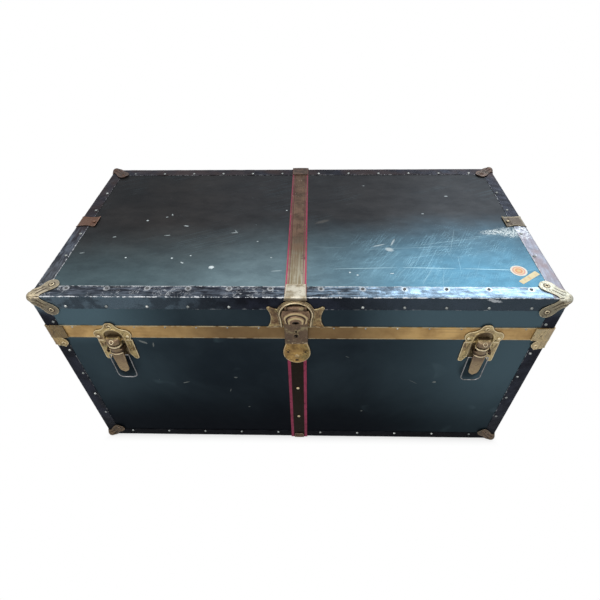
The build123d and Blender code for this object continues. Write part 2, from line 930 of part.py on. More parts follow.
def catch_bail(centre):
    """Make the catch's wire bail, hooked into both sides of the lever."""
    low = bail_z - bail_drop
    hook = tongue_half - 2
    with BuildPart() as piece:
        with BuildLine(Plane((0, bail_y, 0), x_dir=(1, 0, 0), z_dir=(0, -1, 0))) as path:
            FilletPolyline(
                (centre - hook, bail_z),
                (centre - bail_half, bail_z),
                (centre - bail_half, low),
                (centre + bail_half, low),
                (centre + bail_half, bail_z),
                (centre + hook, bail_z),
                radius=[1.6, 9, 9, 1.6],
            )
        with BuildSketch(Plane((centre - hook, bail_y, bail_z), z_dir=(-1, 0, 0))):
            Circle(bail_wire_r)
        sweep(path=path.line)
    return piece


for side, centre in (("left", -catch_x), ("right", catch_x)):
    save(strike(centre), f"{side}_strike")
    save(catch_base(centre), f"{side}_catch_base")
    save(catch_lever(centre), f"{side}_catch_lever")
    save(catch_bail(centre), f"{side}_catch_bail")

with BuildPart() as catch_pins:
    with Locations(*[(x, catch_pin_y, catch_pivot_z) for x in (-catch_x, catch_x)]):
        Cylinder(catch_pin_r, 2 * (barrel_half + ear_gap + ear_t), rotation=(0, 90, 0))
save(catch_pins, "catch_pins")

# ---------------------------------------------------------------- lock
lock_face = skin_front - lock_plate_t
hasp_back = lock_face - hasp_gap
hasp_axis_y = lock_face - 0.6 - hasp_barrel_r
with BuildPart() as lock_plate:
    with BuildSketch(Plane.XZ.offset(-skin_front)):
        with BuildLine():
            up = lock_z + star_up
            down = lock_z - star_down
            for side in (-1, 1):
                ThreePointArc(
                    (side * star_half, down), (side * (star_half - 7), (up + down) / 2),
                    (side * star_half, up),
                )
            ThreePointArc((-star_half, up), (0, up - 13), (star_half, up))
            ThreePointArc((-star_half, down), (0, down + 11), (star_half, down))
        make_face()
        fillet(vertices(), radius=star_tip_r)
        with Locations((0, lock_z)):
            Circle(ring_r)
    extrude(amount=lock_plate_t)
    # The half-round ring, open below where the hasp hangs through
    with BuildSketch(Plane.XY.offset(lock_z)):
        with Locations((ring_r - ring_w / 2, lock_face)):
            Ellipse(ring_w / 2, ring_h)
    revolve(axis=Axis((0, 0, lock_z), (0, 1, 0)))
    with Locations((0, skin_front + ring_h, lock_z)):
        Box(4 * ring_r, 2 * ring_h, 4 * ring_r, mode=Mode.SUBTRACT)
    with Locations((0, lock_face - ring_h, lock_z - ring_r)):
        Box(2 * (hasp_half + ring_clearance), 2 * ring_h, 2 * ring_r, mode=Mode.SUBTRACT)
    # Lugs for the hasp's pin
    for side in (-1, 1):
        inner = side * (hasp_barrel_half + 0.5)
        outer = inner + side * hasp_lug_t
        with BuildSketch(Plane.YZ.offset(min(inner, outer))):
            with Locations((hasp_axis_y, hasp_axis_z)):
                Circle(hasp_barrel_r + 0.4)
            with Locations(((hasp_axis_y + lock_face) / 2, hasp_axis_z)):
                Rectangle(lock_face - hasp_axis_y, 2 * hasp_barrel_r)
        extrude(amount=hasp_lug_t)
    with Locations((0, hasp_axis_y, hasp_axis_z)):
        Cylinder(hasp_pin_r, 4 * hasp_barrel_half, rotation=(0, 90, 0), mode=Mode.SUBTRACT)
    # The plate laps over the top binding's lower edge
    lap_low = lid_top - long_flange - mitre_gap
    with Locations((0, skin_front, lap_low + ring_r)):
        Box(4 * ring_r, 2 * binding_t, 2 * ring_r, mode=Mode.SUBTRACT)
save(lock_plate, "lock_plate")

with BuildPart() as hasp_pin:
    with Locations((0, hasp_axis_y, hasp_axis_z)):
        Cylinder(
            hasp_pin_r, 2 * (hasp_barrel_half + 0.5 + hasp_lug_t), rotation=(0, 90, 0)
        )
save(hasp_pin, "hasp_pin")

disc_front = hasp_back - hasp_t
with BuildPart() as lock_hasp:
    with BuildSketch(Plane.XZ.offset(-hasp_back)):
        with Locations((0, lock_z)):
            Circle(hasp_disc_r)
        with Locations((0, (lock_z - 10 + hasp_bottom) / 2)):
            Rectangle(2 * hasp_half, lock_z - 10 - hasp_bottom)
    extrude(amount=hasp_t)
    previous = 0
    for radius, rise in dome_steps:
        with BuildSketch(Plane.XZ.offset(-disc_front + previous)):
            with Locations((0, lock_z - 3)):
                Circle(radius)
        extrude(amount=rise - previous, taper=12)
        previous = rise
    # The disc stops below its hinge barrel
    disc_top = hasp_axis_z - hasp_barrel_r - hasp_disc_gap
    with Locations((0, hasp_back, disc_top + hasp_disc_r)):
        Box(3 * hasp_disc_r, 2 * hasp_disc_r, 2 * hasp_disc_r, mode=Mode.SUBTRACT)
    with BuildSketch(Plane.YZ.offset(-hasp_barrel_half)):
        with Locations((hasp_axis_y, hasp_axis_z)):
            Circle(hasp_barrel_r)
        with BuildLine():
            Polyline(
                (hasp_back - 0.4, hasp_axis_z),
                (hasp_back - 0.4, hasp_axis_z - 8),
                (disc_front + 0.2, hasp_axis_z - 8),
                (disc_front + 0.2, hasp_axis_z),
                close=True,
            )
        make_face()
    extrude(amount=2 * hasp_barrel_half)
    with Locations((0, hasp_axis_y, hasp_axis_z)):
        Cylinder(
            hasp_pin_r + pin_clearance,
            4 * hasp_barrel_half,
            rotation=(0, 90, 0),
            mode=Mode.SUBTRACT,
        )
    # Thumb notch under the dome, and the key barrel's bore
    with BuildSketch(Plane.XZ.offset(-disc_front + 6)):
        with Locations((0, lock_z - 14)):
            Ellipse(4.5, 2.2)
        with Locations((0, plug_z)):
            Circle(plug_r + plug_clearance)
    extrude(amount=-20, mode=Mode.SUBTRACT)
save(lock_hasp, "lock_hasp")

with BuildPart() as lock_plug:
    with BuildSketch(Plane.XZ.offset(-hasp_back - 0.1)):
        with Locations((0, plug_z)):
            Circle(plug_r)
    extrude(amount=hasp_t + 0.4)
    with BuildSketch(Plane.XZ.offset(-disc_front - 1.6)):
        with Locations((0, plug_z + 1.2)):
            Circle(1.4)
        with Locations((0, plug_z - 1)):
            Rectangle(1.3, 4.4)
    extrude(amount=4, mode=Mode.SUBTRACT)
    with BuildSketch(Plane.XZ.offset(-hasp_back - 0.1)):
        with Locations((0, plug_z + cam_l / 2)):
            Rectangle(4, cam_l)
    extrude(amount=-cam_t)
save(lock_plug, "lock_plug")

with BuildPart() as lock_keeper:
    keeper_top = parting - keeper_lap
    with BuildSketch(Plane.XZ.offset(-skin_front)):
        with BuildLine():
            Line((-keeper_top_half, keeper_top), (keeper_top_half, keeper_top))
            for side in (-1, 1):
                Line((side * keeper_top_half, keeper_top), (side * keeper_top_half, keeper_top - 9))
                Spline(
                    (side * keeper_top_half, keeper_top - 9),
                    (side * keeper_half, keeper_wide_z),
                    tangents=((0, -1), (0, -1)),
                )
                EllipticalCenterArc(
                    (0, keeper_wide_z),
                    keeper_half,
                    keeper_wide_z - keeper_bottom,
                    start_angle=270 if side > 0 else 180,
                    arc_size=90,
                )
        make_face()
    extrude(amount=keeper_t)
    with Locations((0, skin_front - keeper_t + keeper_bump_r - keeper_bump_h, keeper_bump_z)):
        Sphere(keeper_bump_r)
    with Locations((0, skin_front, keeper_bottom)):
        Box(
            strap_w + 0.4,
            2 * (strap_t + 0.1),
            2 * (front_strap_top - keeper_bottom + 0.3),
            mode=Mode.SUBTRACT,
        )
save(lock_keeper, "lock_keeper")


# ---------------------------------------------------------------- end handles
def handle_plate():
    """Make the left handle's plate with its two lugs."""
    with BuildPart() as piece:
        with BuildSketch(Plane.YZ.offset(-skin_x)):
            with Locations((middle_y, handle_z)):
                RectangleRounded(handle_plate_w, handle_plate_h, 8)
        extrude(amount=-handle_plate_t)
        for side in (-1, 1):
            near = handle_half + handle_r + 0.5
            y = middle_y + side * (near + handle_lug_t / 2)
            with BuildSketch(Plane.XZ.offset(-y - handle_lug_t / 2)):
                with Locations((-skin_x - handle_standoff, handle_z)):
                    Circle(handle_r + 2.2)
                with Locations((-skin_x - handle_standoff / 2, handle_z)):
                    Rectangle(handle_standoff, 2 * (handle_r + 2.2))
                with Locations((-skin_x - handle_standoff, handle_z)):
                    Circle(handle_r + handle_hole_clearance, mode=Mode.SUBTRACT)
            extrude(amount=handle_lug_t)
    return piece


def handle_bail():
    """Make the left handle's drop bail with its ends in the lugs."""
    x = -skin_x - handle_standoff
    reach = handle_half + handle_r + handle_lug_t
    low = handle_z - handle_drop
    with BuildPart() as piece:
        with BuildLine(Plane((x, middle_y, 0), x_dir=(0, 1, 0), z_dir=(1, 0, 0))) as path:
            FilletPolyline(
                (-reach, handle_z),
                (-handle_half, handle_z),
                (-handle_half, low),
                (handle_half, low),
                (handle_half, handle_z),
                (reach, handle_z),
                radius=[3.6, 12, 12, 3.6],
            )
        with BuildSketch(Plane((x, middle_y - reach, handle_z), z_dir=(0, 1, 0))):
            Circle(handle_r)
        sweep(path=path.line)
    return piece


left_plate = handle_plate()
save(left_plate, "left_handle_plate")
with BuildPart() as right_plate:
    add(left_plate.part.mirror(Plane.YZ))
save(right_plate, "right_handle_plate")
left_bail = handle_bail()
save(left_bail, "left_handle")
with BuildPart() as right_bail:
    add(left_bail.part.mirror(Plane.YZ))
save(right_bail, "right_handle")


# ---------------------------------------------------------------- nails and rivets
def fastener(head_r, head_h):
    """Make a domed nail or rivet, its head's underside on z = 0."""
    dome_r = (head_r**2 + head_h**2) / (2 * head_h)
    with BuildPart() as piece:
        with Locations((0, 0, head_h - dome_r)):
            Sphere(dome_r)
        split(bisect_by=Plane.XY, keep=Keep.TOP)
        with Locations((0, 0, -nail_shank_l / 2)):
            Cylinder(nail_shank_r, nail_shank_l)
    return piece


def driven(head_r, head_h, seats):
    """Place fasteners at (point, outward direction) seats."""
    with BuildPart() as group:
        with Locations(*[Plane(point, z_dir=out) for point, out in seats]):
            add(fastener(head_r, head_h))
    return group


def row(first, pitch, limit):
    """Give symmetrical places along a line, up to a limit each side."""
    places = []
    place = first
    while place <= limit:
        places += [-place, place]
        place += pitch
    return places


front_out = middle_y - depth / 2
back_out = middle_y + depth / 2
front = (0, -1, 0)
back = (0, 1, 0)
left = (-1, 0, 0)
right = (1, 0, 0)
above = (0, 0, 1)
cap_clear = leaf_reach * 0.8 + 6
row_limit_x = width / 2 - cap_clear
row_limit_y = depth / 2 - cap_clear

lid_seats = []
for x in row(nail_first, nail_pitch, row_limit_x):
    lid_seats.append(((x, front_out + long_flange - nail_inset, lid_top), above))
    lid_seats.append(((x, back_out - long_flange + nail_inset, lid_top), above))
    if abs(x) > star_half + 10:
        lid_seats.append(((x, front_out, lid_top - long_flange + nail_inset), front))
        lid_seats.append(((x, back_out, lid_top - long_flange + nail_inset), back))
for y in row(nail_first, nail_pitch, row_limit_y):
    for side, out in ((-1, left), (1, right)):
        lid_seats.append(
            ((side * (width / 2 - end_flange + nail_inset), middle_y + y, lid_top), above)
        )
        lid_seats.append(((side * width / 2, middle_y + y, lid_top - end_flange + nail_inset), out))
lid_corner_nail_z = band_top + 8
for side_x in (-1, 1):
    for y, out in ((front_out, front), (back_out, back)):
        x = side_x * (width / 2 - end_flange + nail_inset)
        lid_seats.append(((x, y, lid_corner_nail_z), out))
    for side_y in (-1, 1):
        y = middle_y + side_y * (depth / 2 - end_flange + nail_inset)
        lid_seats.append(((side_x * width / 2, y, lid_corner_nail_z), left if side_x < 0 else right))
lid_nails = driven(nail_r, nail_h, lid_seats)
save(lid_nails, "lid_nails")

case_seats = []
for x in row(bottom_nail_first, bottom_nail_pitch, row_limit_x):
    case_seats.append(((x, front_out, stand + bottom_flange - nail_inset), front))
    case_seats.append(((x, back_out, stand + bottom_flange - nail_inset), back))
for y in row(bottom_nail_first, bottom_nail_pitch, row_limit_y):
    case_seats.append(((-width / 2, middle_y + y, stand + bottom_flange - nail_inset), left))
    case_seats.append(((width / 2, middle_y + y, stand + bottom_flange - nail_inset), right))
corner_z = parting - corner_nail_first
while corner_z > stand + cap_clear:
    for side_x in (-1, 1):
        x = side_x * (width / 2 - end_flange + nail_inset)
        case_seats.append(((x, front_out, corner_z), front))
        case_seats.append(((x, back_out, corner_z), back))
        for side_y in (-1, 1):
            y = middle_y + side_y * (depth / 2 - end_flange + nail_inset)
            case_seats.append(((side_x * width / 2, y, corner_z), left if side_x < 0 else right))
    corner_z -= corner_nail_pitch
case_nails = driven(nail_r, nail_h, case_seats)
save(case_nails, "case_nails")

# Small pins along the band's top edge
band_seats = []
for x in row(band_pin_first, band_pin_pitch, width / 2 - band_corner_w - 6):
    if abs(abs(x) - catch_x) > strike_half + 3:
        band_seats.append(((x, front_out, band_top - 3), front))
    if abs(abs(x) - hinge_x) > hinge_w / 2 + 4:
        band_seats.append(((x, back_out, band_top - 3), back))
for y in row(nail_first, band_pin_pitch, depth / 2 - band_corner_w - 6):
    band_seats.append(((-width / 2, middle_y + y, band_top - 3), left))
    band_seats.append(((width / 2, middle_y + y, band_top - 3), right))
band_pins = driven(nail_r * 0.6, nail_h * 0.6, band_seats)
save(band_pins, "band_pins")

# Rivets through the brass work
rivet_in = (leaf_reach - leaf_lobe_r) / 2**0.5 - 1.0
lid_rivet_seats = []
case_rivet_seats = []
for side_x, end_out in ((-1, left), (1, right)):
    for side_y, face_out in ((-1, front), (1, back)):
        x = side_x * (width / 2 - rivet_in)
        y = middle_y + side_y * (depth / 2 - rivet_in)
        face_x = side_x * (width / 2 + cap_t)
        face_y = middle_y + side_y * (depth / 2 + cap_t)
        lid_rivet_seats.append(((x, y, lid_top + cap_t), above))
        lid_rivet_seats.append(((x, face_y, lid_top - rivet_in), face_out))
        lid_rivet_seats.append(((face_x, y, lid_top - rivet_in), end_out))
        case_rivet_seats.append(((x, face_y, stand + rivet_in), face_out))
        case_rivet_seats.append(((face_x, y, stand + rivet_in), end_out))
        clamp_x = side_x * (width / 2 - rim_clamp_w * 0.66)
        clamp_y = middle_y + side_y * (depth / 2 + clamp_t)
        clamp_z = parting - rim_clamp_h * 0.62
        case_rivet_seats.append(((clamp_x, clamp_y, clamp_z), face_out))
        end_y = middle_y + side_y * (depth / 2 - rim_clamp_w * 0.66)
        case_rivet_seats.append(((side_x * (width / 2 + clamp_t), end_y, clamp_z), end_out))
    clamp_end = side_x * (width / 2 - edge_clamp_l + 6)
    lid_rivet_seats.append(((clamp_end, middle_y, lid_top + clamp_t), above))
    lid_rivet_seats.append(
        ((side_x * (width / 2 + clamp_t), middle_y, lid_top - edge_clamp_drop + 6), end_out)
    )
strike_face = skin_front - band_t - plate_t
for centre in (-catch_x, catch_x):
    lid_rivet_seats.append(((centre, strike_face, strike_top - 7.5), front))
    for side in (-1, 1):
        lid_rivet_seats.append(((centre + side * (strike_half - 6.5), strike_face, lid_low + 4.5), front))
        case_rivet_seats.append(
            ((centre + side * (leg_outer - 6.5), skin_front - plate_t, leg_bottom + 22), front)
        )
for side in (-1, 1):
    for z in (lock_z + star_up - 5, lock_z - star_down + 5):
        lid_rivet_seats.append(((side * (star_half - 6), lock_face, z), front))
    case_rivet_seats.append(((side * keeper_rivet_x, skin_front - keeper_t, keeper_wide_z + 3), front))
    for centre in (-hinge_x, hinge_x):
        x = centre + side * (hinge_w / 2 - 8)
        lid_rivet_seats.append(
            ((x, skin_back + band_t + leaf_t, parting + leaf_gap + leaf_h / 2), back)
        )
        case_rivet_seats.append(((x, skin_back + leaf_t, parting - leaf_gap - leaf_h / 2), back))
    for y_side in (-1, 1):
        out = left if side < 0 else right
        x = side * (skin_x + handle_plate_t)
        y = middle_y + y_side * handle_rivet_y
        case_rivet_seats.append(((x, y, handle_z + handle_rivet_up), out))
for z in strap_rivet_heights:
    case_rivet_seats.append(((0, skin_front - strap_t, z), front))
    case_rivet_seats.append(((0, skin_back + strap_t, z), back))
lid_rivets = driven(rivet_r, rivet_h, lid_rivet_seats)
save(lid_rivets, "lid_rivets")
case_rivets = driven(rivet_r, rivet_h, case_rivet_seats)
save(case_rivets, "case_rivets")
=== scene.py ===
import math
from functools import reduce
from operator import or_

import bpy
from mathutils import Matrix, Vector, noise


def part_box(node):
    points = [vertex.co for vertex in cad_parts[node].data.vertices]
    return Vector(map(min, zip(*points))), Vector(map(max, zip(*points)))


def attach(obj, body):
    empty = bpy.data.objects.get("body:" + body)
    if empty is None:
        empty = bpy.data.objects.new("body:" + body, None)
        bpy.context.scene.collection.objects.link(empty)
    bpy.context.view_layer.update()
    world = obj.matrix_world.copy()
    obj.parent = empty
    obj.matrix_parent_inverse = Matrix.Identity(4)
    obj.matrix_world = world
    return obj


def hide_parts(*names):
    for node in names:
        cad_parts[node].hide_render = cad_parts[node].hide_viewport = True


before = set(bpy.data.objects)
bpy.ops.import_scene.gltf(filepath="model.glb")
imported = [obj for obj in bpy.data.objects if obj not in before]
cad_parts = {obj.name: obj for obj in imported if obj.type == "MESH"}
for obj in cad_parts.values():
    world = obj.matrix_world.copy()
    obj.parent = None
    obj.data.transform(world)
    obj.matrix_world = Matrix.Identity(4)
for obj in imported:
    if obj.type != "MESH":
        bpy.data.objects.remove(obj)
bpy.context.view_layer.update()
bpy.ops.object.select_all(action="DESELECT")

# ---------------------------------------------------------------- studio
# The trunk stands on a plain pale floor. A broad soft lamp in front and overhead lights
# it evenly, and a lower one behind on the right lays a sheen on the lid.
scene = bpy.context.scene
scene.view_settings.view_transform = "Standard"
bpy.ops.object.camera_add(location=(0.0221, -0.6287, 0.7954))
camera = bpy.context.object
camera.name = "camera"
camera.rotation_euler = [math.radians(a) for a in (46.459, 0.83, 1.233)]
camera.data.sensor_width = 36
camera.data.lens = 26.189
camera.data.clip_start = 0.01
scene.camera = camera


def soft_lamp(name, place, wide, high, watts, colour=(1, 1, 1)):
    """A soft lamp, wide by high, that faces the trunk."""
    bpy.ops.object.light_add(type="AREA", location=place)
    lamp = bpy.context.object
    lamp.name = name
    lamp.data.shape = "RECTANGLE"
    lamp.data.size = wide
    lamp.data.size_y = high
    lamp.data.energy = watts
    lamp.data.color = colour
    aim = Vector((0, 0, 0.3)) - Vector(place)
    lamp.rotation_euler = aim.to_track_quat("-Z", "Y").to_euler()


soft_lamp("lamp_front", (-1.1, -1.9, 2.2), 1.6, 1.6, 26)
soft_lamp("lamp_over", (0.3, -0.3, 2.8), 2.0, 2.0, 18)
soft_lamp("lamp_window", (1.25, 1.62, 1.88), 1.3, 0.75, 20, (0.86, 0.95, 1.0))

# The sky lights the trunk at under half strength, and looks pure white to the camera.
world = bpy.data.worlds.new("studio")
scene.world = world
world.use_nodes = True
sky = world.node_tree.nodes
wire = world.node_tree.links.new
seen = sky.new("ShaderNodeLightPath")
choose = sky.new("ShaderNodeMixShader")
for number, strength in ((1, 0.42), (2, 1.0)):
    glow = sky.new("ShaderNodeBackground")
    glow.inputs["Color"].default_value = (1, 1, 1, 1)
    glow.inputs["Strength"].default_value = strength
    wire(glow.outputs[0], choose.inputs[number])
ray = seen.outputs["Is Camera Ray"]
for other in ("Is Glossy Ray", "Is Transmission Ray"):
    either = sky.new("ShaderNodeMath")
    either.operation = "MAXIMUM"
    wire(ray, either.inputs[0])
    wire(seen.outputs[other], either.inputs[1])
    ray = either.outputs[0]
wire(ray, choose.inputs[0])
wire(choose.outputs[0], sky["World Output"].inputs["Surface"])


class Tone:
    """A shader value that can be used in sums: each sum adds its Math node."""

    def __init__(self, finish, socket):
        self.finish = finish
        self.socket = socket

    def sum(self, how, *values):
        """Add a Math node of a given kind."""
        return self.finish.node("Math", {"operation": how}, dict(enumerate(values)))

    def __add__(self, other):
        return self.sum("ADD", self, other)

    def __mul__(self, other):
        return self.sum("MULTIPLY", self, other)

    def __sub__(self, other):
        return self.sum("SUBTRACT", self, other)

    def __rsub__(self, other):
        return self.sum("SUBTRACT", other, self)

    def __or__(self, other):
        return self.sum("MAXIMUM", self, other)

    def __abs__(self):
        return self.sum("ABSOLUTE", self)

    __radd__ = __add__

    def ease(self, low, high):
        """Rise smoothly from 0 at low to 1 at high, or fall where high is the lower."""
        kind = {"interpolation_type": "SMOOTHSTEP"}
        return self.finish.node("MapRange", kind, {0: self, 1: low, 2: high})

    def coat(self, colour, mask, how="MIX"):
        """Lay a colour over this one through a mask."""
        return self.finish.blend(self, colour, mask, how)


class Finish:
    """A material, with its Principled shader and the nodes that feed it."""

    def __init__(self, name, **fixed):
        self.material = bpy.data.materials.new(name)
        self.material.use_nodes = True
        self.tree = self.material.node_tree
        self.shader = self.tree.nodes["Principled BSDF"]
        self.put(**fixed)
        self.place = self.node("TexCoord", {}, {}, "Object")
        split = self.node("SeparateXYZ", {}, {0: self.place}).socket.node
        self.x, self.y, self.z = (Tone(self, split.outputs[k]) for k in "XYZ")

    def put(self, **values):
        """Set or feed the shader's sockets, named with underscores for spaces."""
        for name, value in values.items():
            self.feed(self.shader.inputs[name.replace("_", " ")], value)

    def feed(self, socket, value):
        """Link a tone to a socket, or set the socket's own value."""
        if isinstance(value, Tone):
            self.tree.links.new(value.socket, socket)
        elif isinstance(value, tuple) and len(value) == 3 and socket.type == "RGBA":
            socket.default_value = (*value, 1)
        else:
            socket.default_value = value

    def node(self, kind, settings, values, out=0):
        """Add any node: its settings first, then its sockets' values or links."""
        made = self.tree.nodes.new("ShaderNode" + kind)
        for name, value in settings.items():
            setattr(made, name, value)
        for name, value in values.items():
            self.feed(made.inputs[name], value)
        return Tone(self, made.outputs[out])

    def blend(self, below, above, mask, how="MIX"):
        """Lay one colour over another through a mask."""
        kind = {"data_type": "RGBA", "blend_type": how}
        return self.node("Mix", kind, {0: mask, 6: below, 7: above}, 2)

    def turned(self, place=(0, 0, 0), turn=(0, 0, 0), size=(1, 1, 1)):
        """The surface's place, measured from a point, turned and divided by a size."""
        turn = tuple(math.radians(a) for a in turn)
        values = {"Vector": self.place, "Location": place, "Rotation": turn, "Scale": size}
        return self.node("Mapping", {"vector_type": "TEXTURE"}, values)

    def cloud(self, scale, detail=3.0, rough=0.55, at=None, bend=0.0):
        """Soft noise, 0 to 1, with its scale in waves per metre."""
        values = {
            "Vector": at or self.place,
            "Scale": scale,
            "Detail": detail,
            "Roughness": rough,
            "Distortion": bend,
        }
        return self.node("TexNoise", {}, values)

    def scratches(self, turn, length, width, share, seed=0.0):
        """Fine straight scratches along a turned direction."""
        at = self.turned((seed, seed, seed), turn, (length, width, length))
        return self.cloud(1.0, 1.0, 0.5, at).ease(1 - share, 1 - share + 0.05)

    def specks(self, scale, size, share):
        """Small round chips, one to some of the cells of a size."""
        kind = {"feature": "F1"}
        values = {"Vector": self.place, "Scale": scale, "Randomness": 1.0}
        near = self.node("TexVoronoi", kind, values, "Distance")
        colour = Tone(self, near.socket.node.outputs["Color"])
        pick = self.node("SeparateXYZ", {}, {0: colour}, "X")
        return near.ease(size, size * 0.6) * pick.ease(1 - share, 1 - share + 0.01)

    def mark(self, place, size, turn=0.0, ragged=0.35, flat="Z", soft=0.2):
        """One worn place: an oval of half sizes at a point, with ragged or soft edges."""
        sizes = {"Z": (size[0], size[1], 1e3), "Y": (size[0], 1e3, size[1])}[flat]
        turns = {"Z": (0, 0, turn), "Y": (0, turn, 0)}[flat]
        at = self.turned(place, turns, sizes)
        far = self.node("VectorMath", {"operation": "LENGTH"}, {0: at}, "Value")
        return (far + (self.ragged - 0.5) * ragged * 3).ease(1.0, 1.0 - soft)

    def relief(self, height, depth):
        """Turn a height into a bump, in metres at full height."""
        values = {"Height": height, "Distance": depth, "Strength": 1.0}
        return self.node("Bump", {}, values, "Normal")

    def rubbing(self):
        """How worn each point of a piece is, about -1 to 1, as rub() keeps it; below nought it is
        painted shade.
        """
        return self.node("Attribute", {"attribute_name": "worn"}, {}, "Fac")


bpy.ops.mesh.primitive_plane_add(size=30)
floor = bpy.context.object
floor.name = "floor"
floor_paint = Finish(
    "floor_paint", Base_Color=(0.9, 0.9, 0.9), Roughness=0.9, Specular_IOR_Level=0.0
)
looked_at = floor_paint.node("LightPath", {}, {}, "Is Camera Ray")
half_length, half_depth = 0.378, 0.190
beside = abs(floor_paint.x) - half_length | abs(floor_paint.y) - half_depth
floor_white = floor_paint.node("Emission", {}, {"Color": (1, 1, 1), "Strength": 1.0})
outside = looked_at * beside.ease(-0.03, 0.014)
floor_plain = Tone(floor_paint, floor_paint.shader.outputs[0])
surface = floor_paint.node("MixShader", {}, {0: outside, 1: floor_plain, 2: floor_white})
floor_paint.tree.links.new(surface.socket, floor_paint.tree.nodes["Material Output"].inputs[0])
floor.data.materials.append(floor_paint.material)

# ---------------------------------------------------------------- boards and lining
# The box is nailed up from thin plywood boards, with a deeper strip round the rim that
# the lid closes over. Thin buff paper is pasted over the boards inside.


def dress(finish, *names):
    """Give CAD nodes a finish."""
    for name in names:
        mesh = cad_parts[name].data
        mesh.materials.clear()
        mesh.materials.append(finish.material)


ply = Finish("ply", Roughness=0.7, Specular_IOR_Level=0.25)
grain = ply.cloud(1.0, 4.0, 0.6, ply.turned(size=(0.25, 0.012, 0.012)), 0.6)
pores = ply.cloud(1.0, 2.0, 0.6, ply.turned(size=(0.03, 0.0012, 0.0012)))
wood = ply.blend((0.30, 0.19, 0.10), (0.52, 0.38, 0.22), grain.ease(0.3, 0.75))
wood = wood.coat((0.17, 0.10, 0.055), pores.ease(0.62, 0.8) * 0.5)
ply.put(Base_Color=wood, Normal=ply.relief(pores, 0.0003))
dress(ply, *[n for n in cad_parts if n.endswith("_board")], "case_rim")

buff = Finish("buff_paper", Roughness=0.85, Specular_IOR_Level=0.2)
stains = buff.cloud(9.0, 5.0, 0.62, bend=0.8).ease(0.45, 0.75)
fibres = buff.cloud(900.0, 2.0)
paper = buff.blend((0.62, 0.55, 0.42), (0.50, 0.40, 0.27), stains)
paper = paper.coat((0.36, 0.27, 0.17), buff.specks(55.0, 0.10, 0.22) * 0.6)
paper = paper.coat((0.70, 0.64, 0.51), fibres.ease(0.55, 0.8) * 0.35)
buff.put(Base_Color=paper, Normal=buff.relief(fibres + buff.cloud(40.0) * 2, 0.0002))
dress(buff, "case_lining", "lid_lining")

# ---------------------------------------------------------------- sheet steel
# Thin sheet steel over the boards, stove enamelled a dark blue. It is coloured a brown grey at the
# back, with a painted blue sheen towards the lid's front and right and painted shade to near black
# low down, and the lid is scratched and chipped.


def enamel(name, gloss):
    """The enamel's finish, with the noise that breaks up its chips and its clouding."""
    paint = Finish(name, Specular_IOR_Level=gloss, Specular_Tint=(0.42, 0.45, 0.48))
    paint.ragged = paint.cloud(900.0, 4.0, 0.7)
    paint.broad = paint.cloud(5.0, 5.0, 0.62, bend=0.5)
    return paint


def worn_through(paint, places, flat="Z"):
    """Chips and scuffs at given places: (point, half sizes, turn, strength)."""
    hairline = 0.0006
    marks = []
    for (u, v), size, turn, strength in places:
        point = (u, v, 0) if flat == "Z" else (u, 0, v)
        ragged = 0.15 if size[1] < hairline else 0.75
        marks.append(paint.mark(point, size, turn, ragged, flat) * strength)
    return reduce(or_, marks)


lid_paint = enamel("enamel_lid_top", 0.08)
chips = worn_through(lid_paint, [
    ((-0.1290, -0.1197), (0.0042, 0.0036), 0, 1.0),
    ((-0.2610, 0.0070), (0.0022, 0.0020), 0, 0.8),
    ((-0.2297, 0.0178), (0.0026, 0.0008), 20, 0.7),
    ((-0.2220, 0.0250), (0.0012, 0.0030), 20, 0.5),
    ((-0.1050, -0.0293), (0.0060, 0.0013), 8, 0.35),
    ((-0.1030, -0.0260), (0.0013, 0.0050), 30, 0.3),
    ((-0.1900, -0.0095), (0.0042, 0.0012), -10, 0.7),
    ((-0.2157, -0.0370), (0.0050, 0.0009), 4, 0.5),
    ((-0.2670, -0.0966), (0.0017, 0.0016), 0, 0.9),
    ((-0.1942, -0.0977), (0.0020, 0.0016), 0, 0.9),
    ((-0.1760, -0.1087), (0.0032, 0.0014), -30, 0.7),
    ((-0.1662, -0.0913), (0.0014, 0.0013), 0, 0.7),
    ((-0.3027, -0.0415), (0.0032, 0.0012), 15, 0.5),
    ((-0.3407, -0.0848), (0.0040, 0.0010), 10, 0.5),
    ((-0.0216, 0.0391), (0.0016, 0.0014), 0, 0.7),
    ((-0.0649, -0.0536), (0.0014, 0.0013), 0, 0.6),
    ((-0.0401, -0.0959), (0.0014, 0.0012), 0, 0.6),
    ((0.1444, -0.0749), (0.0068, 0.0048), -25, 0.5),
    ((0.1290, -0.0640), (0.0110, 0.0014), 18, 0.4),
    ((0.1520, -0.0560), (0.0016, 0.0100), -24, 0.4),
    ((0.2677, 0.0866), (0.0034, 0.0016), 0, 0.5),
    ((0.1205, 0.1253), (0.0020, 0.0011), 0, 0.4),
    ((0.0793, -0.1311), (0.0016, 0.0014), 0, 1.0),
    ((0.0901, -0.1370), (0.0015, 0.0013), 0, 1.0),
    ((0.1410, -0.1330), (0.0030, 0.0008), 0, 1.0),
    ((0.2150, 0.0280), (0.0024, 0.0015), 0, 0.4),
    ((-0.0300, -0.1280), (0.0085, 0.0007), 4, 0.5),
])
